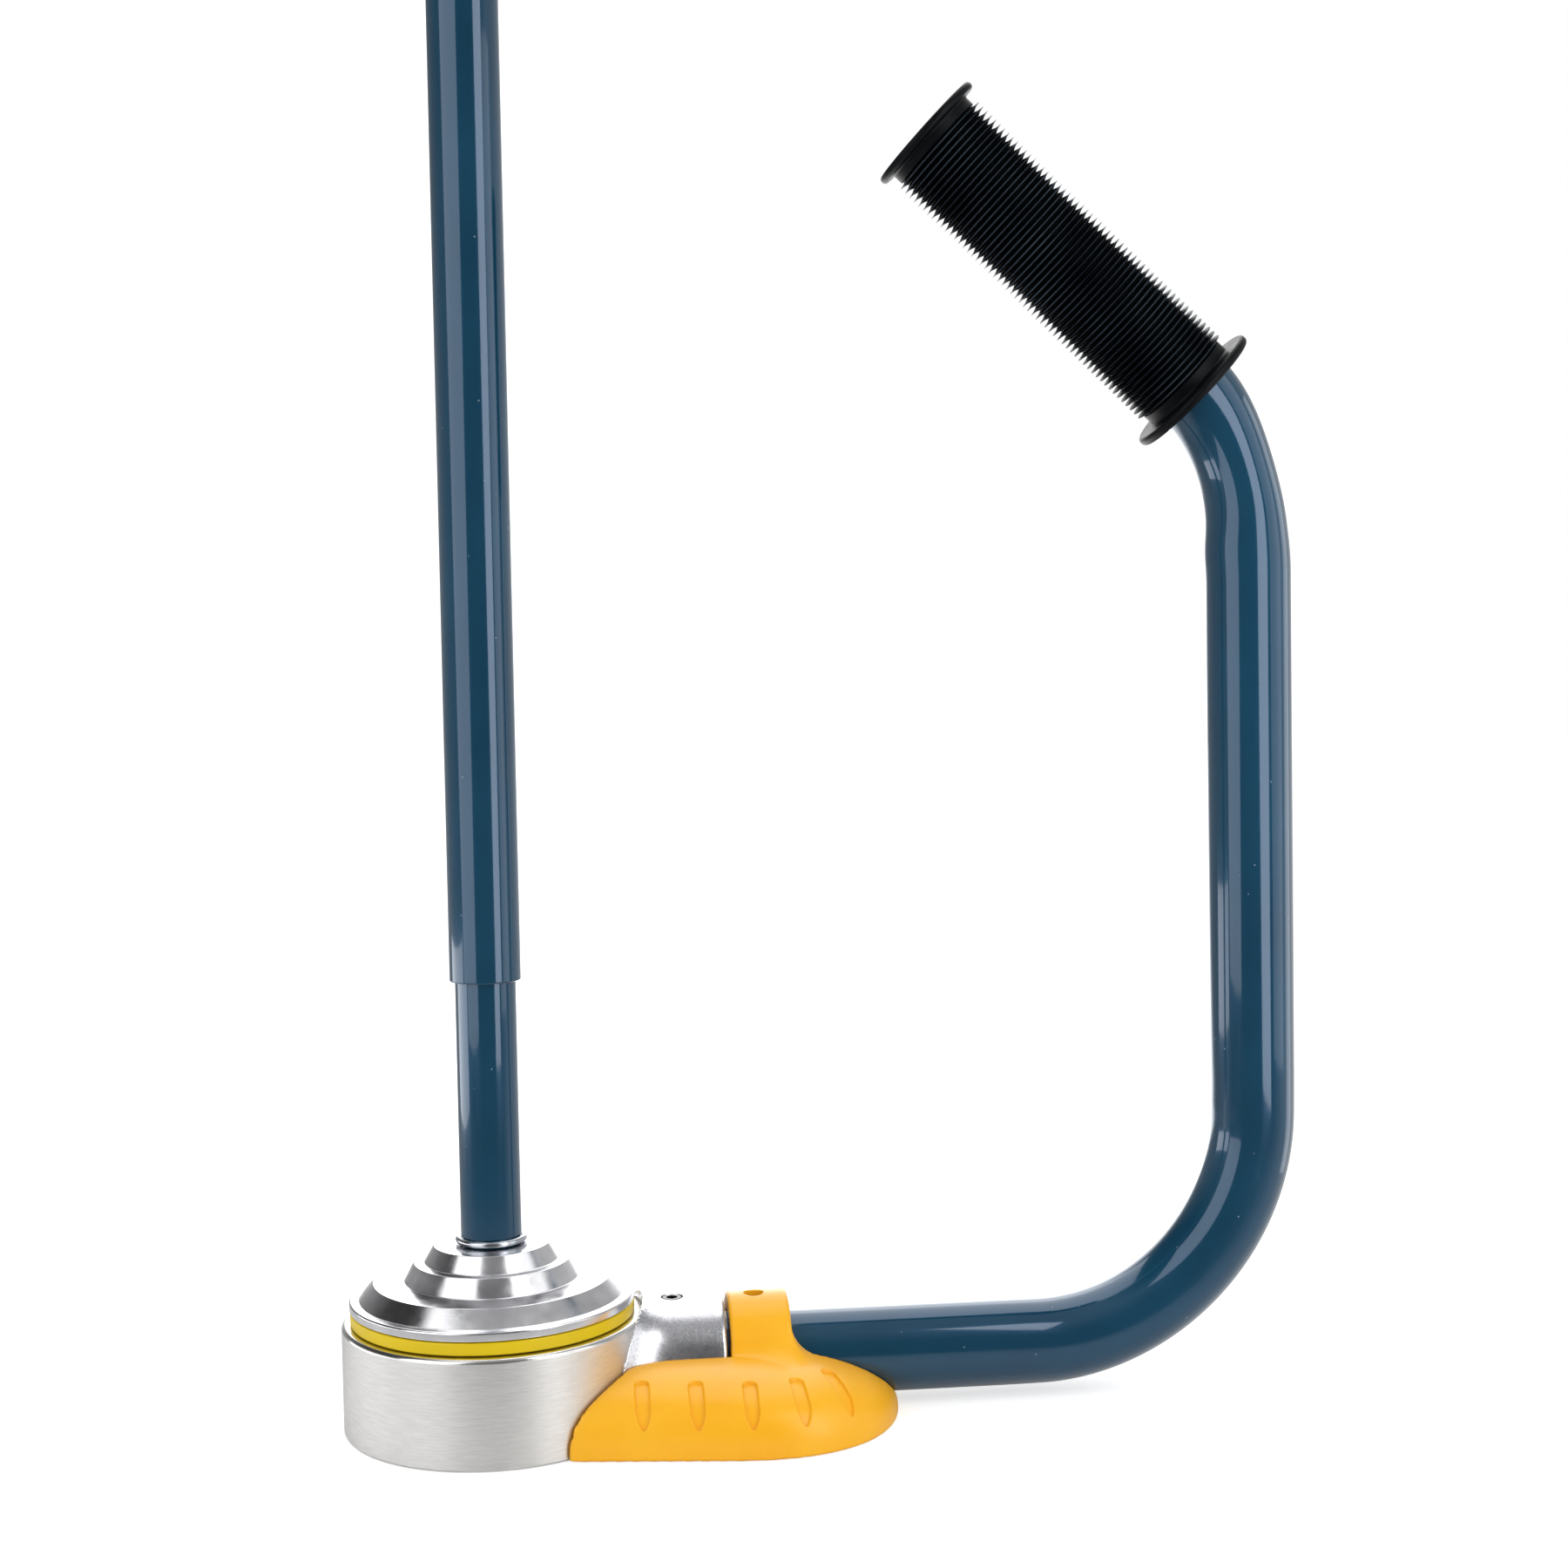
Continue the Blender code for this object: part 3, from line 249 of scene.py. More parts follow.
def tumbled_aluminium():
    """Socket arm. A casting tumbled with stones has a fine bright grain, drawn coarser so that it shows."""
    made, tree, shader = new_material("tumbled_aluminium", Metallic=1.0)
    place = add(tree, "ShaderNodeTexCoord", out="Object")
    grain = add(tree, "ShaderNodeTexNoise", {"Vector": place, "Scale": features(0.7), "Detail": 3.0})
    tone = add(tree, "ShaderNodeMapRange", {"Value": grain, "From Min": 0.35, "From Max": 0.65})
    colour = add(
        tree, "ShaderNodeMix", {0: tone, 6: linear("#CCCDD2"), 7: linear("#E3E3E7")}, 2, data_type="RGBA"
    )
    clouds = add(tree, "ShaderNodeTexNoise", {"Vector": place, "Scale": features(7.0), "Detail": 3.0})
    rough_range = {**NOISE_MIDDLE, "To Min": 0.22, "To Max": 0.30}
    rough = add(tree, "ShaderNodeMapRange", {"Value": clouds, **rough_range})
    bump = add(tree, "ShaderNodeBump", {"Height": grain, "Distance": 0.02 * MM, "Strength": 0.22})
    feed(tree, shader, Base_Color=colour, Roughness=rough, Normal=bump)
    return made


def blue_lacquer():
    """Tubes. Blue lacquer under a clear coat gives soft blue highlights with sharp white ones on top.

    The spray leaves a slight orange peel and dust, and use leaves rubbed marks along the tube.
    """
    made, tree, shader = new_material(
        "blue_lacquer",
        IOR=1.5,
        Specular_IOR_Level=0.5,
        Specular_Tint=linear("#96C3FF"),
        Coat_Weight=1.0,
        Coat_Roughness=0.05,
    )
    place = add(tree, "ShaderNodeTexCoord", out="Object")
    depth = add(tree, "ShaderNodeTexNoise", {"Vector": place, "Scale": features(30.0), "Detail": 2.0})
    tone = add(tree, "ShaderNodeMapRange", {"Value": depth, **NOISE_MIDDLE})
    blue = add(
        tree, "ShaderNodeMix", {0: tone, 6: linear("#0D3950"), 7: linear("#124159")}, 2, data_type="RGBA"
    )
    cells = add(tree, "ShaderNodeTexVoronoi", {"Vector": place, "Scale": features(7.0)})
    dust_range = {"From Min": 0.02, "From Max": 0.045, "To Min": 0.75, "To Max": 0.0}
    dust = add(tree, "ShaderNodeMapRange", {"Value": cells, **dust_range})
    colour = add(tree, "ShaderNodeMix", {0: dust, 6: blue, 7: linear("#8FA3AD")}, 2, data_type="RGBA")
    rub_size = (features(1.2), features(1.2), features(30.0))
    drawn_out = add(tree, "ShaderNodeMapping", {"Vector": place, "Scale": rub_size})
    rubs = add(
        tree, "ShaderNodeTexNoise", {"Vector": drawn_out, "Scale": 1.0, "Detail": 4.0, "Roughness": 0.7}
    )
    rough_range = {"From Min": 0.5, "From Max": 0.75, "To Min": 0.14, "To Max": 0.28}
    rough = add(tree, "ShaderNodeMapRange", {"Value": rubs, **rough_range})
    peel = add(tree, "ShaderNodeTexNoise", {"Vector": place, "Scale": features(3.5), "Detail": 1.0})
    bump = add(tree, "ShaderNodeBump", {"Height": peel, "Distance": 0.02 * MM, "Strength": 0.25})
    feed(tree, shader, Base_Color=colour, Roughness=rough, Normal=bump, Coat_Normal=bump)
    return made


def moulded_plastic(name, dark, light, roughness, grain_size, gloss=0.5):
    """Moulded plastic or rubber: a spark-eroded grain, and a colour that drifts a little.

    The grain is too fine to show, so it is drawn coarser, at the size given.
    """
    made, tree, shader = new_material(name, IOR=1.5, Specular_IOR_Level=gloss)
    place = add(tree, "ShaderNodeTexCoord", out="Object")
    drift = add(tree, "ShaderNodeTexNoise", {"Vector": place, "Scale": features(18.0), "Detail": 3.0})
    tone = add(tree, "ShaderNodeMapRange", {"Value": drift, **NOISE_MIDDLE})
    colour = add(tree, "ShaderNodeMix", {0: tone, 6: linear(dark), 7: linear(light)}, 2, data_type="RGBA")
    rough_range = {"To Min": roughness - 0.05, "To Max": roughness + 0.05}
    rough = add(tree, "ShaderNodeMapRange", {"Value": tone, **rough_range})
    grain = add(tree, "ShaderNodeTexNoise", {"Vector": place, "Scale": features(grain_size), "Detail": 2.0})
    bump = add(tree, "ShaderNodeBump", {"Height": grain, "Distance": 0.015 * MM, "Strength": 0.35})
    feed(tree, shader, Base_Color=colour, Roughness=rough, Normal=bump)
    return made


def rubber_with_painted_crest_highlight():
    """Ribs of the grip. Black rubber with a painted highlight, grey in patches along the crests, so that
    each rib shows as a thin line.
    """
    made, tree, shader = new_material("rubber_with_painted_crest_highlight", IOR=1.5, Specular_IOR_Level=0.1)
    place = add(tree, "ShaderNodeTexCoord", out="Object")
    grip_turn = (0.0, -BEND_ANGLE, 0.0)
    along = add(
        tree,
        "ShaderNodeMapping",
        {"Vector": place, "Location": GRIP_START * MM, "Rotation": grip_turn},
        vector_type="TEXTURE",
    )
    flat = add(tree, "ShaderNodeVectorMath", {0: along, 1: (1.0, 1.0, 0.0)}, operation="MULTIPLY")
    out = add(tree, "ShaderNodeVectorMath", {0: flat}, "Value", operation="LENGTH")
    crest_span = {"From Min": (GRIP_CREST - CREST_HIGHLIGHT_DEPTH) * MM, "From Max": GRIP_CREST * MM}
    crest = add(tree, "ShaderNodeMapRange", {"Value": out, **crest_span})
    patches = add(tree, "ShaderNodeTexNoise", {"Vector": place, "Scale": features(25.0), "Detail": 2.0})
    patchiness = add(tree, "ShaderNodeMapRange", {"Value": patches, **NOISE_MIDDLE})
    # painted highlight: the crests are made lighter grey, in patches, where light would catch them
    wear_and_painted_highlight = add(tree, "ShaderNodeMath", {0: crest, 1: patchiness}, operation="MULTIPLY")
    colour = add(
        tree, "ShaderNodeMix", {0: wear_and_painted_highlight, 6: linear("#02060E"), 7: linear("#6A7883")}, 2, data_type="RGBA"
    )
    rough = add(tree, "ShaderNodeMapRange", {"Value": patchiness, "To Min": 0.55, "To Max": 0.42})
    feed(tree, shader, Base_Color=colour, Roughness=rough)
    return made


def plain_metal(name, dark, light, roughness, grain_size):
    """Plated or blackened steel, or sintered bronze: a tone that clouds over a few millimetres.

    The grain is too fine to show, so it is drawn coarser, at the size given.
    """
    made, tree, shader = new_material(name, Metallic=1.0)
    place = add(tree, "ShaderNodeTexCoord", out="Object")
    clouds = add(tree, "ShaderNodeTexNoise", {"Vector": place, "Scale": features(4.0), "Detail": 3.0})
    tone = add(tree, "ShaderNodeMapRange", {"Value": clouds, **NOISE_MIDDLE})
    colour = add(tree, "ShaderNodeMix", {0: tone, 6: linear(dark), 7: linear(light)}, 2, data_type="RGBA")
    rough_range = {"To Min": roughness - 0.05, "To Max": roughness + 0.08}
    rough = add(tree, "ShaderNodeMapRange", {"Value": tone, **rough_range})
    grain = add(tree, "ShaderNodeTexNoise", {"Vector": place, "Scale": features(grain_size), "Detail": 2.0})
    bump = add(tree, "ShaderNodeBump", {"Height": grain, "Distance": 0.01 * MM, "Strength": 0.3})
    feed(tree, shader, Base_Color=colour, Roughness=rough, Normal=bump)
    return made


BRUSHED = brushed_aluminium()
TURNED = turned_aluminium()
TUMBLED = tumbled_aluminium()
LACQUER = blue_lacquer()
ORANGE = moulded_plastic("orange_polypropylene", "#FCB41A", "#FFBD22", 0.32, 0.35, 0.4)
YELLOW = moulded_plastic("yellow_acetal", "#DFBF04", "#E8C90A", 0.34, 0.5, 0.35)
RUBBER = moulded_plastic("black_rubber", "#030509", "#06090E", 0.46, 0.4, 0.14)
CREST_HIGHLIGHT_RUBBER = rubber_with_painted_crest_highlight()
NYLON = moulded_plastic("natural_nylon", "#DAD6CB", "#E6E2D8", 0.5, 0.6)
ZINC = plain_metal("zinc_plated_steel", "#BFC4CA", "#D6DADF", 0.24, 0.6)
BLACKENED = plain_metal("blackened_steel", "#2C2C2F", "#3C3C40", 0.26, 0.4)
BRONZE = plain_metal("sintered_bronze", "#A97B45", "#BD8D52", 0.42, 0.4)


# Making meshes

SHARP_ANGLE = math.radians(50)
FILLET_STEPS = 5
SETTLING_STEPS = 4
SETTLING_REACH, FINE_SETTLING_REACH = 0.4, 0.2  # as shares of a cell
LEAST_SLOPE = 0.05
TINY = 1e-9  # keeps a divisor or a root off zero


def finish_piece(name, mesh, material, body, slot, *nodes):
    """Puts a finished mesh in the scene, on its body and in place of the nodes that it stands for."""
    mesh.materials.clear()
    mesh.materials.append(material)
    made = in_scene(name, mesh)
    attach(made, body)
    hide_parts(*nodes)


def applied(made):
    """The mesh of an object with its modifiers applied. The object is removed."""
    bpy.context.view_layer.update()
    graph = bpy.context.evaluated_depsgraph_get()
    mesh = bpy.data.meshes.new_from_object(made.evaluated_get(graph))
    old = made.data
    bpy.data.objects.remove(made, do_unlink=True)
    if isinstance(old, bpy.types.Mesh):
        bpy.data.meshes.remove(old)
    return mesh


def new_tree(name, **inputs):
    """A tree with named inputs of these socket kinds, and its input sockets."""
    tree = bpy.data.node_groups.new(name, "GeometryNodeTree")
    tree.interface.new_socket("Geometry", in_out="INPUT", socket_type="NodeSocketGeometry")
    for socket, kind in inputs.items():
        tree.interface.new_socket(socket, in_out="INPUT", socket_type=f"NodeSocket{kind}")
    tree.interface.new_socket("Geometry", in_out="OUTPUT", socket_type="NodeSocketGeometry")
    return tree, add(tree, "NodeGroupInput").node.outputs


def ended(tree, geometry, material):
    """A tree with its last nodes: copies made real, and the material set."""
    real = add(tree, "GeometryNodeRealizeInstances", {"Geometry": geometry})
    coated = add(tree, "GeometryNodeSetMaterial", {"Geometry": real, "Material": material})
    add(tree, "NodeGroupOutput", {"Geometry": coated})
    return tree


def shaped(tree, start, **given):
    """The mesh that a tree makes from a start mesh and its named inputs, with its faces outwards."""
    made = in_scene(tree.name, start)
    change = made.modifiers.new(tree.name, "NODES")
    change.node_group = tree
    for socket in tree.interface.items_tree:
        if socket.in_out == "INPUT" and socket.name in given:
            change[socket.identifier] = given[socket.name]
    mesh = applied(made)
    outwards(mesh)
    mesh.shade_smooth()
    mesh.set_sharp_from_angle(angle=SHARP_ANGLE)
    return mesh


def outwards(mesh):
    """Merges a mesh's doubles and turns its faces outwards."""
    shape = bmesh.new()
    shape.from_mesh(mesh)
    bmesh.ops.remove_doubles(shape, verts=shape.verts, dist=WELD)
    bmesh.ops.recalc_face_normals(shape, faces=shape.faces)
    shape.to_mesh(mesh)
    shape.free()


def rounded(corners):
    """An outline of (x, y, fillet) corners as points, with an arc at each corner that has a fillet."""
    points = []
    count = len(corners)
    for i, (x, y, fillet) in enumerate(corners):
        here = Vector((x, y))
        if not fillet:
            points.append(here)
            continue
        before = (Vector(corners[i - 1][:2]) - here).normalized()
        after = (Vector(corners[(i + 1) % count][:2]) - here).normalized()
        half = before.angle(after) / 2
        start = here + before * (fillet / math.tan(half))
        centre = here + (before + after).normalized() * (fillet / math.sin(half))
        sweep = math.pi - 2 * half
        way = 1 if before.cross(after) < 0 else -1
        for k in range(FILLET_STEPS + 1):
            spun = Matrix.Rotation(way * sweep * k / FILLET_STEPS, 2) @ (start - centre)
            points.append(centre + spun)
    return points


def lathe(outline, steps):
    """A closed outline of (radius, height) points turned round Z."""
    mesh = bpy.data.meshes.new("outline")
    points = [(x * MM, 0.0, y * MM) for x, y in outline]
    mesh.from_pydata(points, [(i, (i + 1) % len(points)) for i in range(len(points))], [])
    made = in_scene("outline", mesh)
    screw = made.modifiers.new("turn", "SCREW")
    screw.axis = "Z"
    screw.steps = steps
    screw.render_steps = steps
    screw.use_merge_vertices = True
    screw.merge_threshold = WELD
    turned = applied(made)
    outwards(turned)
    return weighted(turned)


def weighted(mesh):
    """Smooth shading in which wide faces stay flat beside narrow fillets."""
    mesh.shade_smooth()
    made = in_scene("weighted", mesh)
    made.modifiers.new("weighted", "WEIGHTED_NORMAL")
    return applied(made)


def eased(share):
    """A share cut off at 0 and 1, with a smooth start and end."""
    share = np.clip(share, 0.0, 1.0)
    return share * share * (3 - 2 * share)


def smooth_union(a, b, fillet):
    """The union of two distance fields with a round fillet between them."""
    u = np.maximum(fillet - a, 0.0)
    v = np.maximum(fillet - b, 0.0)
    return np.maximum(fillet, np.minimum(a, b)) - np.hypot(u, v)


def smooth_cut(a, b, edge):
    """Field a less field b, with the edge of the cut rounded."""
    u = np.maximum(edge + a, 0.0)
    v = np.maximum(edge - b, 0.0)
    return np.minimum(-edge, np.maximum(a, -b)) + np.hypot(u, v)


def slope_of(field, points, reach=0.02):
    """The gradient of a field at each point."""
    slopes = []
    for axis in reach * np.eye(3):
        slopes.append((field(*(points + axis).T) - field(*(points - axis).T)) / (2 * reach))
    return np.stack(slopes, axis=1)


def settled(field, points, reach):
    """Points drawn on to the surface where a field is zero, by at most this reach a step."""
    for _ in range(SETTLING_STEPS):
        slope = slope_of(field, points)
        shift = field(*points.T) / np.maximum((slope**2).sum(axis=1), LEAST_SLOPE)
        move = slope * shift[:, None]
        length = np.linalg.norm(move, axis=1, keepdims=True)
        points = points - move * np.minimum(1.0, reach / np.maximum(length, TINY))
    return points


def moulded(field, low, high, cell, merging=0.02):
    """The surface where a field is zero, with faces merged where it is nearly flat, unless merging is 0."""
    axes = [np.arange(a - 2 * cell, b + 2 * cell, cell) for a, b in zip(low, high)]
    values = field(*np.meshgrid(*axes, indexing="ij"))
    grid = openvdb.FloatGrid(float(values.max()))
    grid.copyFromArray(values.astype(np.float32))
    points, triangles, quads = grid.convertToPolygons(0.0, merging)
    points = points.astype(float) * cell + [axis[0] for axis in axes]
    points = settled(field, points, SETTLING_REACH * cell)
    mesh = bpy.data.meshes.new("moulded")
    mesh.from_pydata((points * MM).tolist(), [], triangles.tolist() + quads.tolist())
    outwards(mesh)
    mesh.shade_smooth()
    return mesh


def refined(mesh, wanted):
    """Splits each face whose middle is wanted in four."""
    shape = bmesh.new()
    shape.from_mesh(mesh)
    middles = np.array([face.calc_center_median() for face in shape.faces]) / MM
    edges = set()
    for face, chosen in zip(shape.faces, wanted(*middles.T)):
        if chosen:
            edges.update(face.edges)
    in_order = sorted(edges, key=lambda edge: edge.index)
    bmesh.ops.subdivide_edges(shape, edges=in_order, cuts=1, use_grid_fill=True)
    shape.to_mesh(mesh)
    shape.free()
    return mesh


def points_of(mesh):
    """A mesh's corners in millimetres."""
    points = np.empty(len(mesh.vertices) * 3)
    mesh.vertices.foreach_get("co", points)
    return points.reshape(-1, 3) / MM


# Drum, socket arm and hub

TURN_STEPS = 160
HOLLOW_RADIUS, BOSS_RADIUS, BOSS_LOW, BOSS_SEAT = 26.0, 15.2, 9.0, 12.0
POLE_HOLE, BOLT_HOLE = POLE_RADIUS + FIT_GAP, 4.25
PLATE_THICKNESS = 7.2
DRUM_TOP_EDGE, DRUM_LOW_EDGE, REBATE_EDGE = 1.5, 0.8, 0.2


def drum():
    rebate = COVER_RADIUS + FIT_GAP
    hollow_top = DRUM_HEIGHT - PLATE_THICKNESS
    outline = rounded(
        [
            (POLE_HOLE, DRUM_HEIGHT, 0.0),
            (DRUM_RADIUS, DRUM_HEIGHT, DRUM_TOP_EDGE),
            (DRUM_RADIUS, 0.0, DRUM_LOW_EDGE),
            (rebate, 0.0, REBATE_EDGE),
            (rebate, COVER_TOP + GAP, 0.0),
            (HOLLOW_RADIUS, COVER_TOP + GAP, 0.0),
            (HOLLOW_RADIUS, hollow_top, 0.0),
            (BOSS_RADIUS, hollow_top, 0.0),
            (BOSS_RADIUS, BOSS_LOW, 0.0),
            (BOLT_HOLE, BOSS_LOW, 0.0),
            (BOLT_HOLE, BOSS_SEAT, 0.0),
            (POLE_HOLE, BOSS_SEAT, 0.0),
        ]
    )
    finish_piece("drum", lathe(outline, TURN_STEPS), BRUSHED, "base", "brushed_aluminium", "base_housing")


ARM_RADIUS = 18.7
ARM_LIFT = 0.4
ARM_FLAT = 0.3
ARM_END_EDGE, ARM_LOW_EDGE, ARM_FLAT_EDGE, ARM_ROOM_EDGE = 1.0, 0.3, 0.8, 0.4
ARM_BORE_EDGE, GRUB_HOLE, GRUB_HOLE_EDGE = 0.5, 3.25, 0.35
ARM_INTO_DRUM = 0.15
ARM_CELL, SIDE_MARGIN, DRUM_MARGIN = 0.4, 1.0, 2.0
ROOM = 3 * GAP  # left round the drum and the hub, where a casting or moulding stands clear of them
FLARE_RADIUS, FLARE_END, FLARE_POWER, FLARE_INSET = 27.0, 52.0, 2.2, 1.2
FLARE_START = math.sqrt(DRUM_RADIUS**2 - FLARE_RADIUS**2) - FLARE_INSET
FLARE_OVERRUN = 1.2  # how far the flare goes on inside the drum, as a share of its length
SOCKET_FLOOR = 38.0


def arm_radius(x):
    """The arm's radius along X: straight, then flaring towards the drum."""
    share = np.clip((FLARE_END - x) / (FLARE_END - FLARE_START), 0.0, FLARE_OVERRUN)
    return ARM_RADIUS + (FLARE_RADIUS - ARM_RADIUS) * share**FLARE_POWER


def arm_field(x, y, z):
    """About the distance to the arm: a flared bar with a flat top, less its socket and screw hole."""
    across = np.hypot(y, z - TUBE_AXIS)
    body = across - arm_radius(x)
    body = smooth_cut(body, ARM_END - x, ARM_END_EDGE)
    body = smooth_cut(body, z - ARM_LIFT, ARM_LOW_EDGE)
    body = smooth_cut(body, TUBE_AXIS + ARM_RADIUS - ARM_FLAT - z, ARM_FLAT_EDGE)
    hub_room = np.maximum(np.hypot(x, y) - FLANGE_RADIUS - ROOM, DRUM_HEIGHT - GAP - z)
    body = smooth_cut(body, hub_room, ARM_ROOM_EDGE)
    body = np.maximum(body, DRUM_RADIUS - ARM_INTO_DRUM - np.hypot(x, y))
    bore = np.maximum(across - TUBE_RADIUS - FIT_GAP, SOCKET_FLOOR - x)
    body = smooth_cut(body, bore, ARM_BORE_EDGE)
    grub_hole = np.maximum(np.hypot(x - GRUB_X, y) - GRUB_HOLE, TUBE_AXIS - z)
    return smooth_cut(body, grub_hole, GRUB_HOLE_EDGE)


def socket_arm():
    reach = FLARE_RADIUS + SIDE_MARGIN
    low = (FLARE_START - DRUM_MARGIN, -reach, ARM_LIFT)
    high = (ARM_END, reach, TUBE_AXIS + ARM_RADIUS)
    mesh = moulded(arm_field, low, high, ARM_CELL)
    finish_piece("socket_arm", mesh, TUMBLED, "base", "brushed_aluminium", "base_housing")


TIER_LOW_RADII = (38.6, 25.5, 19.65)
TIER_HIGH_RADII = (34.5, 22.75, 16.9)
TIER_HEIGHTS = (4.7, 5.2, 4.7)
FLANGE_THICKNESS = 2.6
HUB_EDGE, FLANGE_EDGE, LIP_EDGE = 0.35, 0.6, 0.3
HUB_LIP, LIP_GAP = 1.6, 0.55


def hub():
    bore = BUSH_RADIUS + FIT_GAP
    height = HUB_LOW + FLANGE_THICKNESS
    corners = [
        (bore, HUB_LOW, 0.0),
        (FLANGE_RADIUS, HUB_LOW, HUB_EDGE),
        (FLANGE_RADIUS, height, FLANGE_EDGE),
    ]
    for low, high, rise in zip(TIER_LOW_RADII, TIER_HIGH_RADII, TIER_HEIGHTS):
        corners.append((low, height, HUB_EDGE))
        height += rise
        corners.append((high, height, HUB_EDGE))
    lip_bore = POLE_RADIUS + LIP_GAP
    shelf = height - HUB_LIP
    corners += [(lip_bore, height, LIP_EDGE), (lip_bore, shelf, 0.0), (bore, shelf, 0.0)]
    finish_piece("hub", lathe(rounded(corners), TURN_STEPS), TURNED, "hub", "turned_aluminium", "core_hub")


RING_WIDTH, RING_EDGE, RING_INNER_EDGE = 11.2, 0.5, 0.2


def friction_ring():
    inner = RING_RADIUS - RING_WIDTH
    corners = [
        (inner, RING_LOW, RING_INNER_EDGE),
        (RING_RADIUS, RING_LOW, RING_EDGE),
        (RING_RADIUS, RING_HIGH, RING_EDGE),
        (inner, RING_HIGH, RING_INNER_EDGE),
    ]
    mesh = lathe(rounded(corners), TURN_STEPS)
    finish_piece("brake_ring", mesh, YELLOW, "base", "yellow_plastic", "friction_ring")


SNAP_WIRE, SNAP_OPENING = 2.0, math.radians(20.0)
WIRE_STEPS, WIRE_SIDES = 97, 20


def wire_tree():
    """A round wire bent to an open ring, with cut ends."""
    tree, given = new_tree(
        "snap_ring",
        Radius="Float",
        Wire="Float",
        Start="Float",
        Sweep="Float",
        Height="Float",
        Material="Material",
    )
    path = add(
        tree,
        "GeometryNodeCurveArc",
        {
            "Resolution": WIRE_STEPS,
            "Radius": given["Radius"],
            "Start Angle": given["Start"],
            "Sweep Angle": given["Sweep"],
        },
    )
    circle = {"Resolution": WIRE_SIDES, "Radius": given["Wire"]}
    section = add(tree, "GeometryNodeCurvePrimitiveCircle", circle)
    sweep = {"Curve": path, "Profile Curve": section, "Fill Caps": True}
    ring = add(tree, "GeometryNodeCurveToMesh", sweep)
    lift = add(tree, "ShaderNodeCombineXYZ", {"Z": given["Height"]})
    placed = add(tree, "GeometryNodeTransform", {"Geometry": ring, "Translation": lift})
    return ended(tree, placed, given["Material"])


def snap_ring():
    low, high = node_box("hub_snap_ring")
    mesh = shaped(
        wire_tree(),
        bpy.data.meshes.new("snap_ring"),
        Radius=(high.x - SNAP_WIRE / 2) * MM,
        Wire=SNAP_WIRE / 2 * MM,
        Start=math.pi / 2 + SNAP_OPENING / 2,
        Sweep=2 * math.pi - SNAP_OPENING,
        Height=(low.z + high.z) / 2 * MM,
        Material=ZINC,
    )
    finish_piece("snap_ring", mesh, ZINC, "base", "zinc_steel", "hub_snap_ring")


# Pole

POLE_STEPS = 96
INNER_WALL, OUTER_WALL = 1.5, 1.2
GROOVE_DEPTH = 0.6
CUT_EDGE, OUTER_EDGE, STEM_EDGE = 0.3, 0.5, 0.5
CROWN_STEPS = 24


def inner_pole():
    low, high = node_box("hub_snap_ring")
    groove = POLE_RADIUS - GROOVE_DEPTH
    inner = POLE_RADIUS - INNER_WALL
    corners = [
        (inner, POLE_LOW, 0.0),
        (POLE_RADIUS, POLE_LOW, CUT_EDGE),
        (POLE_RADIUS, low.z - FIT_GAP, 0.0),
        (groove, low.z - FIT_GAP, 0.0),
        (groove, high.z + FIT_GAP, 0.0),
        (POLE_RADIUS, high.z + FIT_GAP, 0.0),
        (POLE_RADIUS, POLE_HIGH, CUT_EDGE),
        (inner, POLE_HIGH, 0.0),
    ]
    mesh = lathe(rounded(corners), POLE_STEPS)
    finish_piece("lower_pole", mesh, LACQUER, "base", "blue_paint", "inner_pole")


def outer_pole():
    inner = OUTER_RADIUS - OUTER_WALL
    corners = [
        (inner, OUTER_LOW, CUT_EDGE),
        (OUTER_RADIUS, OUTER_LOW, OUTER_EDGE),
        (OUTER_RADIUS, OUTER_HIGH, OUTER_EDGE),
        (inner, OUTER_HIGH, CUT_EDGE),
    ]
    mesh = lathe(rounded(corners), POLE_STEPS)
    finish_piece("upper_pole", mesh, LACQUER, "upper_pole", "blue_paint", "outer_pole")


def pole_cap():
    stem = OUTER_RADIUS - OUTER_WALL - FIT_GAP
    seat = OUTER_HIGH + GAP
    corners = [
        (0.0, CAP_LOW, 0.0),
        (stem, CAP_LOW, STEM_EDGE),
        (stem, seat, 0.0),
        (OUTER_RADIUS, seat, CUT_EDGE),
    ]
    outline = rounded(corners)
    for i in range(1, CROWN_STEPS + 1):
        angle = math.pi / 2 * i / CROWN_STEPS
        outline.append(Vector((OUTER_RADIUS * math.cos(angle), seat + (CAP_HIGH - seat) * math.sin(angle))))
    finish_piece("end_cap", lathe(outline, POLE_STEPS), RUBBER, "upper_pole", "black_rubber", "pole_cap")


# Handle

STATION_SPACING = 2.0


def swell(share):
    """Rises smoothly from 0 to 1 and back while share goes from 0 to 1."""
    return math.sin(math.pi * min(1.0, max(0.0, share))) ** 2


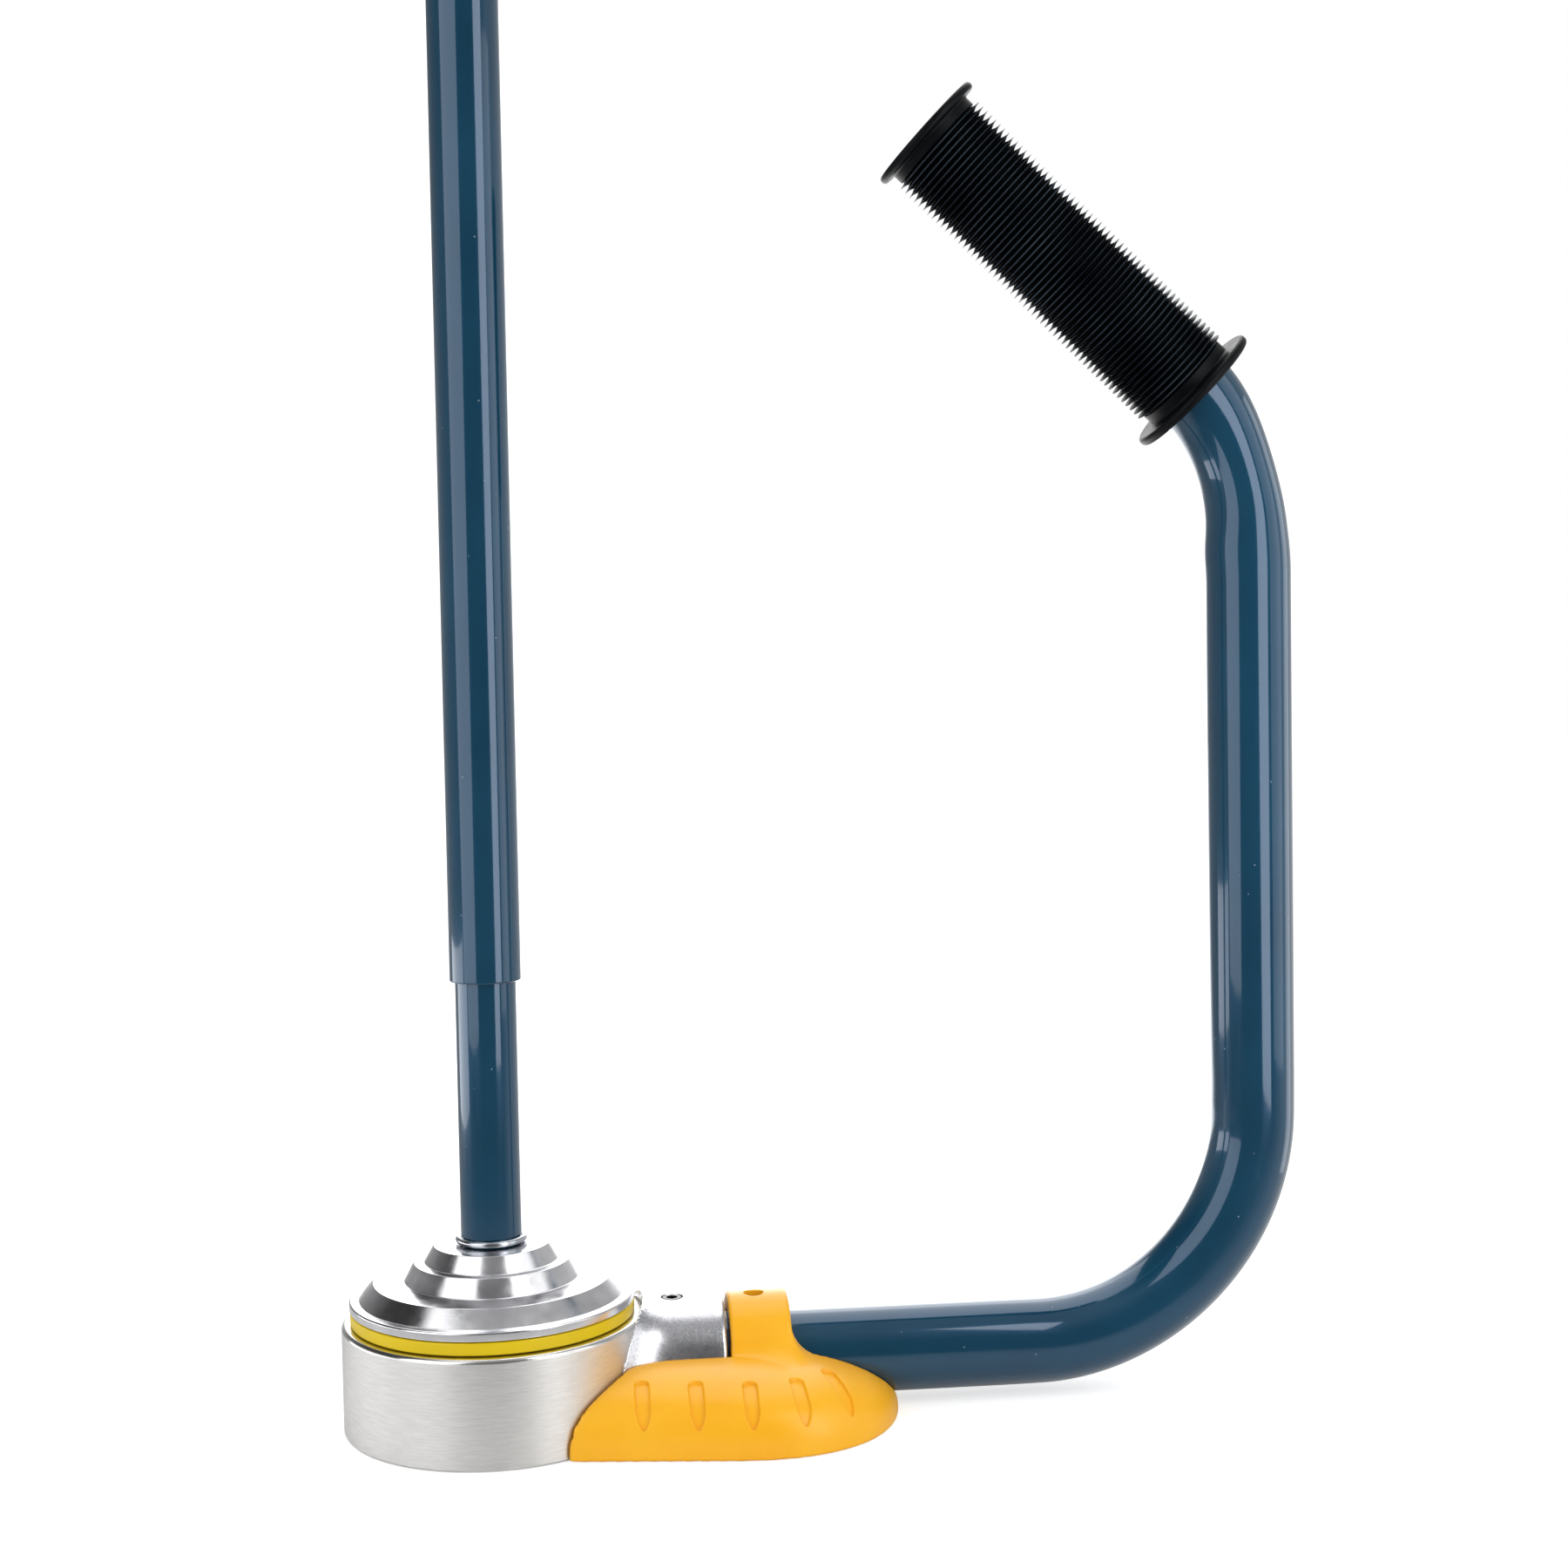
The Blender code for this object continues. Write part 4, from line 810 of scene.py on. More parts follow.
def tube_stations():
    """Centre, heading, flattening and die mark at stations along the tube."""
    run_end = UPRIGHT_X - LOWER_BEND
    tangent = UPPER_BEND * math.tan(BEND_ANGLE / 2)
    bend_low = UPPER_CORNER - tangent
    upright_low = TUBE_AXIS + LOWER_BEND
    run_start = DRUM_RADIUS + GAP
    end = GRIP_START + (GRIP_LENGTH - TUBE_SHY_OF_GRIP) * GRIP_WAY
    bend_end = Vector((UPRIGHT_X, 0.0, UPPER_CORNER)) + tangent * GRIP_WAY
    pieces = (
        run_end - run_start,
        LOWER_BEND * math.pi / 2,
        bend_low - upright_low,
        UPPER_BEND * BEND_ANGLE,
        (end - bend_end).length,
    )
    marks = [sum(pieces[:i]) for i in range(len(pieces) + 1)]
    count = round(marks[-1] / STATION_SPACING)
    for i in range(count + 1):
        s = marks[-1] * i / count
        if s <= marks[1]:
            centre, heading = Vector((run_start + s, 0.0, TUBE_AXIS)), 0.0
        elif s <= marks[2]:
            heading = (s - marks[1]) / LOWER_BEND
            swing = Vector((math.sin(heading), 0.0, 1 - math.cos(heading))) * LOWER_BEND
            centre = Vector((run_end, 0.0, TUBE_AXIS)) + swing
        elif s <= marks[3]:
            centre, heading = Vector((UPRIGHT_X, 0.0, upright_low + s - marks[2])), math.pi / 2
        elif s <= marks[4]:
            turn = (s - marks[3]) / UPPER_BEND
            swing = Vector((math.cos(turn) - 1, 0.0, math.sin(turn))) * UPPER_BEND
            centre, heading = Vector((UPRIGHT_X, 0.0, bend_low)) + swing, math.pi / 2 + turn
        else:
            centre, heading = bend_end + (s - marks[4]) * GRIP_WAY, math.pi / 2 + BEND_ANGLE
        lower = (s - marks[1] + FLATTENING_LEAD) / (pieces[1] + 2 * FLATTENING_LEAD)
        upper = (s - marks[3] + FLATTENING_LEAD) / (pieces[3] + FLATTENING_LEAD)
        flattening = LOWER_FLATTENING * swell(lower) + UPPER_FLATTENING * swell(upper)
        die = LOWER_DIE_MARK * swell((s - marks[2]) / DIE_MARK_LENGTH / 2 + 0.5)
        die += UPPER_DIE_MARK * swell((s - marks[3] + UPPER_DIE_LEAD) / DIE_MARK_LENGTH / 2 + 0.5)
        yield centre, heading, flattening, die


def tube_path():
    """The tube's centre line, with what the tree needs at each point."""
    stations = list(tube_stations())
    mesh = bpy.data.meshes.new("tube_path")
    points = [centre * MM for centre, _, _, _ in stations]
    mesh.from_pydata(points, [(i, i + 1) for i in range(len(points) - 1)], [])
    inward = [(-math.sin(heading), 0.0, math.cos(heading)) for _, heading, _, _ in stations]
    mesh.attributes.new("centre", "FLOAT_VECTOR", "POINT").data.foreach_set("vector", np.ravel(points))
    mesh.attributes.new("inward", "FLOAT_VECTOR", "POINT").data.foreach_set("vector", np.ravel(inward))
    flattening = [flat for _, _, flat, _ in stations]
    die_marks = [die * MM for _, _, _, die in stations]
    mesh.attributes.new("flattening", "FLOAT", "POINT").data.foreach_set("value", flattening)
    mesh.attributes.new("die_mark", "FLOAT", "POINT").data.foreach_set("value", die_marks)
    return mesh


def tube_tree():
    """A tube along its path, flattened on the outer side of each bend, with die marks on the inner side."""
    tree, given = new_tree("bent_handle", Radius="Float", Sides="Int", Material="Material")
    path = add(tree, "GeometryNodeMeshToCurve", {"Mesh": given["Geometry"]})
    section = add(
        tree, "GeometryNodeCurvePrimitiveCircle", {"Resolution": given["Sides"], "Radius": given["Radius"]}
    )
    sweep = {"Curve": path, "Profile Curve": section, "Fill Caps": True}
    tube = add(tree, "GeometryNodeCurveToMesh", sweep)
    centre = add(tree, "GeometryNodeInputNamedAttribute", {"Name": "centre"}, data_type="FLOAT_VECTOR")
    inward = add(tree, "GeometryNodeInputNamedAttribute", {"Name": "inward"}, data_type="FLOAT_VECTOR")
    flattening = add(tree, "GeometryNodeInputNamedAttribute", {"Name": "flattening"}, data_type="FLOAT")
    die_mark = add(tree, "GeometryNodeInputNamedAttribute", {"Name": "die_mark"}, data_type="FLOAT")
    place = add(tree, "GeometryNodeInputPosition")
    out = add(tree, "ShaderNodeVectorMath", {0: place, 1: centre}, operation="SUBTRACT")
    push = add(tree, "ShaderNodeVectorMath", {0: out, 1: inward}, "Value", operation="DOT_PRODUCT")
    short_of_side = add(tree, "ShaderNodeMath", {0: given["Radius"], 1: push}, operation="SUBTRACT")
    squeeze = add(tree, "ShaderNodeMath", {0: short_of_side, 1: flattening}, operation="MULTIPLY")
    share = add(tree, "ShaderNodeMath", {0: push, 1: given["Radius"]}, operation="DIVIDE")
    inner = add(tree, "ShaderNodeMath", {0: share, 1: 0.0}, operation="MAXIMUM")
    rounded_inner = add(tree, "ShaderNodeMath", {0: inner, 1: 2.0}, operation="POWER")
    shoulder = add(
        tree, "ShaderNodeMath", {0: rounded_inner, 1: die_mark, 2: squeeze}, operation="MULTIPLY_ADD"
    )
    moved_in = add(tree, "ShaderNodeVectorMath", {0: inward, "Scale": shoulder}, operation="SCALE")
    pushed = add(tree, "ShaderNodeVectorMath", {0: inward, "Scale": push}, operation="SCALE")
    sideways = add(tree, "ShaderNodeVectorMath", {0: out, 1: pushed}, operation="SUBTRACT")
    half = add(tree, "ShaderNodeMath", {0: flattening, 1: 0.5}, operation="MULTIPLY")
    spread_out = add(tree, "ShaderNodeVectorMath", {0: sideways, "Scale": half}, operation="SCALE")
    change = add(tree, "ShaderNodeVectorMath", {0: moved_in, 1: spread_out}, operation="ADD")
    bent = add(tree, "GeometryNodeSetPosition", {"Geometry": tube, "Offset": change})
    return ended(tree, bent, given["Material"])


def handle_tube():
    mesh = shaped(tube_tree(), tube_path(), Radius=TUBE_RADIUS * MM, Sides=TUBE_STEPS, Material=LACQUER)
    finish_piece("bent_handle", mesh, LACQUER, "base", "blue_paint", "handle_tube")


def grip_sleeve():
    """The grip's body: two flanges, their collars and the sleeve that carries the ribs."""
    bore = TUBE_RADIUS + GAP
    top = GRIP_LENGTH
    corners = [
        (bore, 0.0, GRIP_MOUTH_EDGE),
        (LOW_FLANGE, 0.0, LOW_FLANGE_EDGE),
        (LOW_FLANGE, LOW_THICKNESS, LOW_FLANGE_EDGE),
        (GRIP_COLLAR, LOW_THICKNESS, COLLAR_ROOT),
        (GRIP_COLLAR, RIBS_LOW, COLLAR_RIM),
        (GRIP_ROOT, RIBS_LOW + COLLAR_SLOPE, 0.0),
        (GRIP_ROOT, RIBS_HIGH - COLLAR_SLOPE, 0.0),
        (GRIP_COLLAR, RIBS_HIGH, COLLAR_RIM),
        (GRIP_COLLAR, top - HIGH_THICKNESS, COLLAR_ROOT),
        (HIGH_FLANGE, top - HIGH_THICKNESS, HIGH_FLANGE_EDGE),
        (HIGH_FLANGE, top, HIGH_FLANGE_EDGE),
        (0.0, top, 0.0),
        (0.0, top - GRIP_END_WALL, 0.0),
        (bore, top - GRIP_END_WALL, 0.0),
    ]
    mesh = lathe(rounded(corners), POLE_STEPS)
    mesh.transform(GRIP_TURN)
    finish_piece("grip_sleeve", mesh, RUBBER, "base", "black_rubber", "handle_grip")


def rib_tree():
    """Rings of a pointed section with hollow flanks, stood along a line: one for each rib of the grip."""
    tree, given = new_tree(
        "grip_ribs",
        Ribs="Int",
        Pitch="Float",
        Root="Float",
        Height="Float",
        Width="Float",
        Sunk="Float",
        Hollow="Float",
        Material="Material",
    )
    step = add(tree, "ShaderNodeCombineXYZ", {"Z": given["Pitch"]})
    line = add(tree, "GeometryNodeMeshLine", {"Count": given["Ribs"], "Offset": step}, mode="OFFSET")
    ring = add(tree, "GeometryNodeCurvePrimitiveCircle", {"Radius": given["Root"], "Resolution": RIB_SIDES})
    kite = add(
        tree,
        "GeometryNodeCurvePrimitiveQuadrilateral",
        {"Width": given["Width"], "Bottom Height": given["Sunk"], "Top Height": given["Height"]},
        mode="KITE",
    )
    fine = add(tree, "GeometryNodeSubdivideCurve", {"Curve": kite, "Cuts": 2})
    place = add(tree, "GeometryNodeInputPosition")
    x, y, z = add(tree, "ShaderNodeSeparateXYZ", {"Vector": place}).node.outputs
    below_crest = add(
        tree, "ShaderNodeMapRange", {"Value": y, "From Max": given["Height"], "To Min": 1.0, "To Max": 0.0}
    )
    narrowing = add(tree, "ShaderNodeMath", {0: below_crest, 1: given["Hollow"]}, operation="POWER")
    narrow = add(tree, "ShaderNodeMath", {0: x, 1: narrowing}, operation="MULTIPLY")
    hollowed = add(tree, "ShaderNodeCombineXYZ", {"X": narrow, "Y": y, "Z": z})
    section = add(tree, "GeometryNodeSetPosition", {"Geometry": fine, "Position": hollowed})
    quarter_turn = (0.0, 0.0, -math.pi / 2)
    outward = add(tree, "GeometryNodeTransform", {"Geometry": section, "Rotation": quarter_turn})
    rib = add(tree, "GeometryNodeCurveToMesh", {"Curve": ring, "Profile Curve": outward})
    stood = add(tree, "GeometryNodeInstanceOnPoints", {"Points": line, "Instance": rib})
    return ended(tree, stood, given["Material"])


def grip_ribs():
    pitch = (RIBS_HIGH - RIBS_LOW) / GRIP_RIBS
    mesh = shaped(
        rib_tree(),
        bpy.data.meshes.new("ribs"),
        Ribs=GRIP_RIBS,
        Pitch=pitch * MM,
        Root=GRIP_ROOT * MM,
        Height=(GRIP_CREST - GRIP_ROOT) * MM,
        Width=pitch * RIB_WIDTH_SHARE * MM,
        Sunk=RIB_SUNK * MM,
        Hollow=RIB_HOLLOW,
        Material=CREST_HIGHLIGHT_RUBBER,
    )
    mesh.transform(GRIP_TURN @ Matrix.Translation((0.0, 0.0, (RIBS_LOW + pitch / 2) * MM)))
    finish_piece("grip_ribs", mesh, CREST_HIGHLIGHT_RUBBER, "base", "black_rubber", "handle_grip")


# Foot

FOOT_BACK_HALF, FOOT_SPREAD, FOOT_HEIGHT, FOOT_POWER = 39.0, 0.1375, 21.3, 3.0
FOOT_STRAIGHT, NOSE_POWER, CROWN_POWER = 66.0, 2.2, 1.08
FOOT_BACK, FOOT_CORNER = 18.0, 12.0
COLLAR_RADIUS, COLLAR_GAP, COLLAR_WIDTH = 18.5, 1.1, 18.0
COLLAR_LEFT = ARM_END + COLLAR_GAP
COLLAR_EDGE = 1.0
COLLAR_LEFT_FILLET, COLLAR_RIGHT_FILLET = 1.5, 7.4
FOOT_HOLE = 2.9
DRUM_CUT_EDGE, ARM_CUT_EDGE, BORE_CUT_EDGE, HOLE_CUT_EDGE, SOLE_EDGE = 0.5, 0.6, 0.5, 0.35, 0.6
FLUTE_HALF, FLUTE_DEPTH, FLUTE_LOW, FLUTE_POINT = 2.05, 1.0, 8.4, 4.0
FLUTE_INWARD, FLUTE_INWARD_PER_TURN, FLUTE_TURN_SHARE = 13.0, 12.0, 0.6
FLUTE_FIRST, FLUTE_PITCH, FLUTES = 41.9, 15.1, 5
FLUTE_CORNER, FLUTE_WALL = 1.7, 0.35
FOOT_CELL, FINE_REACH, FINEST_REACH = 0.65, 1.2, 0.7
FAR_OFF = 100.0  # farther than any flute


def nose_share(x):
    """What the nose leaves of the foot's width: all of it, then less and less to a rounded end."""
    share = np.clip((x - FOOT_STRAIGHT) / (FOOT_NOSE - FOOT_STRAIGHT), 0.0, 1.0)
    return np.maximum(1e-5, 1.0 - share**NOSE_POWER) ** (1 / NOSE_POWER)


def foot_half(x):
    """Half the foot's width on the floor: spreading sides, then the nose."""
    return (FOOT_BACK_HALF + FOOT_SPREAD * (x - FOOT_BACK)) * nose_share(x)


def dome_level(x, y, z):
    """The dome's superellipse section: 1 on its surface, less inside."""
    crown = FOOT_HEIGHT * nose_share(x) ** CROWN_POWER
    wide = (np.abs(y) / foot_half(x)) ** FOOT_POWER
    tall = (np.maximum(z, 0.0) / crown) ** FOOT_POWER
    return (wide + tall + TINY) ** (1 / FOOT_POWER)


def dome_field(x, y, z):
    """About the distance to the dome's surface."""
    reach = 0.05
    level = dome_level(x, y, z)
    slopes = [
        dome_level(x + reach, y, z) - level,
        dome_level(x, np.abs(y) + reach, z) - level,
        dome_level(x, y, np.maximum(z, 0.0) + reach) - level,
    ]
    steepness = np.sqrt(sum(slope**2 for slope in slopes)) / reach
    return np.maximum((level - 1.0) / np.maximum(steepness, 0.01), x - FOOT_NOSE)


def flute_places():
    """Where each flute stands on the outline, spaced evenly along it, and how far it turns to the nose."""
    x = FLUTE_FIRST
    nudge = FLUTE_PITCH / 60
    for _ in range(FLUTES):
        slope = float(foot_half(x + nudge) - foot_half(x)) / nudge
        yield x, float(foot_half(x)), max(0.0, FLUTE_TURN_SHARE * math.atan(-slope))
        run = 0.0
        while run < FLUTE_PITCH:
            run += math.hypot(nudge, float(foot_half(x + nudge) - foot_half(x)))
            x += nudge


PLACES = list(flute_places())


def off_flutes(x, y, z):
    """How far a point of the dome lies outside the nearest flute: a rounded head over a pointed foot."""
    nearest = np.full_like(x, FAR_OFF)
    point = np.clip((z - FLUTE_LOW) / FLUTE_POINT, 0.0, 1.0) ** 0.5
    for place, half, turn in PLACES:
        along = (x - place) * math.cos(turn) - (np.abs(y) - half) * math.sin(turn)
        inward = (place - x) * math.sin(turn) + (half - np.abs(y)) * math.cos(turn)
        corner = FLUTE_CORNER * point
        off_side = np.abs(along) - FLUTE_HALF * point + corner
        off_head = inward - FLUTE_INWARD - FLUTE_INWARD_PER_TURN * turn + corner
        round_off = np.hypot(np.maximum(off_side, 0.0), np.maximum(off_head, 0.0)) - corner
        outline = np.minimum(np.maximum(off_side, off_head), 0.0) + round_off
        nearest = np.minimum(nearest, np.maximum(outline, FLUTE_LOW - z))
    return nearest


def off_screw_hole(x, y, z):
    """How far outside the collar's screw hole a point lies."""
    return np.maximum(np.hypot(x - FOOT_HOLE_X, y) - FOOT_HOLE, TUBE_AXIS - z)


def off_details(x, y, z):
    """How far a point lies outside the flutes and the screw hole."""
    return np.minimum(off_flutes(x, y, z), off_screw_hole(x, y, z))


def foot_field(x, y, z):
    """About the distance to the foot without its flutes: dome and collar, less what they stand round."""
    dome = dome_field(x, y, z)
    across = np.hypot(y, z - TUBE_AXIS)
    middle = COLLAR_LEFT + COLLAR_WIDTH / 2
    off_round = across - COLLAR_RADIUS + COLLAR_EDGE
    off_ends = np.abs(x - middle) - COLLAR_WIDTH / 2 + COLLAR_EDGE
    beyond = np.hypot(np.maximum(off_round, 0.0), np.maximum(off_ends, 0.0))
    collar = np.minimum(np.maximum(off_round, off_ends), 0.0) + beyond - COLLAR_EDGE
    widening = eased((x - COLLAR_LEFT - COLLAR_EDGE) / COLLAR_WIDTH)
    fillet = COLLAR_LEFT_FILLET + (COLLAR_RIGHT_FILLET - COLLAR_LEFT_FILLET) * widening
    body = smooth_union(dome, collar, fillet)
    body = smooth_cut(body, np.hypot(x, y) - DRUM_RADIUS - ROOM, DRUM_CUT_EDGE)
    arm_room = np.maximum(across - arm_radius(x) - GAP, x - COLLAR_LEFT)
    body = smooth_cut(body, arm_room, ARM_CUT_EDGE)
    body = smooth_cut(body, across - TUBE_RADIUS - GAP, BORE_CUT_EDGE)
    body = smooth_cut(body, off_screw_hole(x, y, z), HOLE_CUT_EDGE)
    return smooth_cut(body, z, SOLE_EDGE)


def foot():
    """The foot guard, with finer faces at the screw hole and where the flutes are pressed in."""
    low = (FOOT_CORNER, -FOOT_SIDE, 0.0)
    high = (FOOT_NOSE, FOOT_SIDE, TUBE_AXIS + COLLAR_RADIUS)
    mesh = moulded(foot_field, low, high, FOOT_CELL, merging=0.0)
    mesh = refined(mesh, lambda x, y, z: off_details(x, y, z) < FINE_REACH)
    mesh = refined(mesh, lambda x, y, z: np.abs(off_details(x, y, z)) < FINEST_REACH)
    points = settled(foot_field, points_of(mesh), FINE_SETTLING_REACH * FOOT_CELL)
    slope = slope_of(foot_field, points)
    outward = slope / np.linalg.norm(slope, axis=1, keepdims=True)
    depth = FLUTE_DEPTH * eased(0.5 - off_flutes(*points.T) / FLUTE_WALL)
    points -= outward * depth[:, None]
    mesh.vertices.foreach_set("co", (points * MM).ravel())
    mesh.shade_smooth()
    finish_piece("foot", mesh, ORANGE, "base", "orange_plastic", "foot_guard")


# Screws

KEY_ACROSS, KEY_DEPTH = 3.0, 2.4
CROSS_WIDTH, CROSS_LENGTH, CROSS_DEPTH = 0.9, 3.6, 0.8
COVER_SCREWS, COVER_SCREW_CIRCLE = 3, 31.0
SHANK_RADIUS, HEAD_DEPTH = 1.5, 1.1
SCREW_CELL = 0.16
SET_SCREW_EDGE, KEY_EDGE, HEAD_EDGE, CROSS_EDGE = 0.4, 0.15, 0.3, 0.12


def set_screw(name, node, material, slot):
    """A headless screw that stands in its hole, with a hexagon socket for a key."""
    low, high = node_box(node)
    middle = (low + high) / 2
    radius = (high.x - low.x) / 2

    def field(x, y, z):
        x = x - middle.x
        body = np.hypot(x, y - middle.y) - radius
        body = smooth_cut(body, high.z - z, SET_SCREW_EDGE)
        body = np.maximum(body, low.z - z)
        turns = (k * math.pi / 3 for k in range(6))
        sides = [x * math.cos(turn) + (y - middle.y) * math.sin(turn) for turn in turns]
        key = np.maximum(np.maximum.reduce(sides) - KEY_ACROSS / 2, high.z - KEY_DEPTH - z)
        return smooth_cut(body, key, KEY_EDGE)

    finish_piece(name, moulded(field, low, high, SCREW_CELL), material, "base", slot, node)


def cover_screw():
    """A cheese-head screw with a cross recess, head down, standing on the origin."""
    low, high = node_box("cover_screw_1")
    head = (high.x - low.x) / 2

    def field(x, y, z):
        out = np.hypot(x, y)
        body = smooth_cut(out - head, z - low.z, HEAD_EDGE)
        body = np.maximum(body, z - low.z - HEAD_DEPTH)
        shank = np.maximum(out - SHANK_RADIUS, z - high.z)
        body = np.minimum(body, np.maximum(shank, low.z + HEAD_DEPTH / 2 - z))
        one_way = np.maximum(np.abs(x) - CROSS_WIDTH / 2, np.abs(y) - CROSS_LENGTH / 2)
        other_way = np.maximum(np.abs(y) - CROSS_WIDTH / 2, np.abs(x) - CROSS_LENGTH / 2)
        cross = np.maximum(np.minimum(one_way, other_way), z - low.z - CROSS_DEPTH)
        return smooth_cut(body, cross, CROSS_EDGE)

    return moulded(field, (-head, -head, low.z), (head, head, high.z), SCREW_CELL)


def screw_tree():
    """Copies of a screw, spaced evenly round the drum's axis."""
    tree, given = new_tree("cover_screws", Count="Int", Circle="Float", First="Vector", Material="Material")
    spots = add(tree, "GeometryNodeMeshCircle", {"Vertices": given["Count"], "Radius": given["Circle"]})
    turned = add(tree, "GeometryNodeTransform", {"Geometry": spots, "Rotation": given["First"]})
    copies = add(tree, "GeometryNodeInstanceOnPoints", {"Points": turned, "Instance": given["Geometry"]})
    return ended(tree, copies, given["Material"])


def cover_screws():
    mesh = shaped(
        screw_tree(),
        cover_screw(),
        Count=COVER_SCREWS,
        Circle=COVER_SCREW_CIRCLE * MM,
        First=(0.0, 0.0, math.pi),
        Material=ZINC,
    )
    nodes = [f"cover_screw_{i + 1}" for i in range(COVER_SCREWS)]
    finish_piece("cover_screws", mesh, ZINC, "base", "zinc_steel", *nodes)


# Pieces that stay as the frame has them get their finish here

FRAME_FINISHES = {
    "bottom_cover": ZINC,
    "hub_bush_lower": BRONZE,
    "hub_bush_upper": BRONZE,
    "pole_plug": ZINC,
    "pole_bolt": BLACKENED,
    "pole_washer": ZINC,
    "lock_plug": NYLON,
    "lock_sleeve": NYLON,
    "lock_nut": ZINC,
}


def finish_frame_nodes():
    for node, material in FRAME_FINISHES.items():
        mesh = frame["nodes"][node].data
        mesh.materials.clear()
        mesh.materials.append(material)


# Studio: floor, light and camera

CAMERA_PLACE = (24.31, -622.24, 213.74)
CAMERA_YAW, CAMERA_PITCH, CAMERA_ROLL = 5.87, 2.66, -0.99
CAMERA_LENS, SENSOR_WIDTH = 48.88, 36.0
BACKDROP = 3.4  # in reflections, brighter than white, so that grazing edges and top faces burn out
EVEN_GREY = 0.32  # light from all round on matt surfaces
FLOOR_HALF, FLOOR_DROP = 6.0, 0.0002  # in metres


def camera():
    """The viewpoint: a little above the hub, turned slightly towards the handle."""
    yaw, pitch, roll = (math.radians(v) for v in (CAMERA_YAW, CAMERA_PITCH, CAMERA_ROLL))
    ahead = Vector((math.sin(yaw) * math.cos(pitch), math.cos(yaw) * math.cos(pitch), -math.sin(pitch)))
    right = Vector((math.cos(yaw), -math.sin(yaw), 0.0))
    up = right.cross(ahead)
    across = right * math.cos(roll) + up * math.sin(roll)
    over = up * math.cos(roll) - right * math.sin(roll)
    data = bpy.data.cameras.new("camera")
    data.lens = CAMERA_LENS
    data.sensor_width = SENSOR_WIDTH
    data.clip_start = 0.01
    data.clip_end = 50.0
    made = in_scene("camera", data)
    turn = Matrix((across, over, -ahead)).transposed().to_4x4()
    made.matrix_world = Matrix.Translation(Vector(CAMERA_PLACE) * MM) @ turn
    bpy.context.scene.camera = made


def lamp(name, place, aim, width, height, radiance):
    """A softbox with this radiance, where 1 is the white of the background."""
    data = bpy.data.lights.new(name, "AREA")
    data.shape = "RECTANGLE"
    data.size = width * MM
    data.size_y = height * MM
    data.energy = radiance * math.pi * data.size * data.size_y
    made = in_scene(name, data)
    made.location = Vector(place) * MM
    made.rotation_euler = (Vector(aim) - Vector(place)).to_track_quat("-Z", "Y").to_euler()
    made.visible_camera = False


def lamps():
    lamp("left_softbox", (-380, -340, 340), (0, 0, 180), 460, 700, 1.6)
    lamp("right_softbox", (362, -368, 300), (60, 0, 180), 200, 620, 3.1)
    lamp("right_wing", (545, -190, 290), (100, 0, 200), 240, 540, 0.9)
    lamp("top_softbox", (100, 480, 1000), (100, 100, 50), 900, 1100, 1.5)
    lamp("drum_kicker", (-420, 60, 45), (-40, 0, 30), 420, 90, 2.6)
    lamp("handle_strip", (335, 10, 190), (229, 0, 190), 40, 330, 1.0)


def surroundings(tree, way):
    """What reflections see along a direction: bright behind, grey right, dark left, dim in front."""
    x, y, z = add(tree, "ShaderNodeSeparateXYZ", {"Vector": way}).node.outputs
    low_part = {"Value": z, "From Min": 0.1, "From Max": 0.5}
    left = add(tree, "ShaderNodeMapRange", {**low_part, "To Min": 0.30, "To Max": 0.04})
    right = add(tree, "ShaderNodeMapRange", {**low_part, "To Min": 0.60, "To Max": 0.42})
    rightwards = add(tree, "ShaderNodeMapRange", {"Value": x, "From Min": -0.5, "From Max": -0.2})
    sides = add(tree, "ShaderNodeMix", {"Factor": rightwards, "A": left, "B": right})
    high_part = {"Value": z, "From Min": 0.5, "From Max": 0.95}
    front = add(tree, "ShaderNodeMapRange", {**high_part, "To Min": 0.10, "To Max": 0.42})
    from_front = add(tree, "ShaderNodeMapRange", {"Value": y, "From Min": -0.6, "From Max": -0.2})
    near = add(tree, "ShaderNodeMix", {"Factor": from_front, "A": front, "B": sides})
    behind = add(tree, "ShaderNodeMapRange", {"Value": y, "From Min": 0.64, "From Max": 0.92})
    off_left = add(tree, "ShaderNodeMapRange", {"Value": x, "From Min": -0.36, "From Max": -0.06})
    off_right = add(tree, "ShaderNodeMapRange", {"Value": x, "From Min": 0.6, "From Max": 0.3})
    between = add(tree, "ShaderNodeMath", {0: off_left, 1: off_right}, operation="MULTIPLY")
    backdrop = add(tree, "ShaderNodeMath", {0: behind, 1: between}, operation="MULTIPLY")
    return add(tree, "ShaderNodeMix", {"Factor": backdrop, "A": near, "B": BACKDROP})


def world():
    """White to the camera, the surroundings to reflections, and an even grey to everything else."""
    made = bpy.data.worlds.new("studio")
    bpy.context.scene.world = made
    made.use_nodes = True
    tree = made.node_tree
    tree.nodes.clear()
    seen = surroundings(tree, add(tree, "ShaderNodeTexCoord", out="Generated"))
    path = add(tree, "ShaderNodeLightPath").node.outputs
    even = add(tree, "ShaderNodeMix", {"Factor": path["Is Glossy Ray"], "A": EVEN_GREY, "B": seen})
    direct_rays = {0: path["Is Camera Ray"], 1: path["Is Transmission Ray"]}
    direct = add(tree, "ShaderNodeMath", direct_rays, operation="MAXIMUM")
    strength = add(tree, "ShaderNodeMix", {"Factor": direct, "A": even, "B": 1.0})
    back = add(tree, "ShaderNodeBackground", {"Strength": strength, "Color": (1.0, 1.0, 1.0, 1.0)})
    add(tree, "ShaderNodeOutputWorld", {"Surface": back})


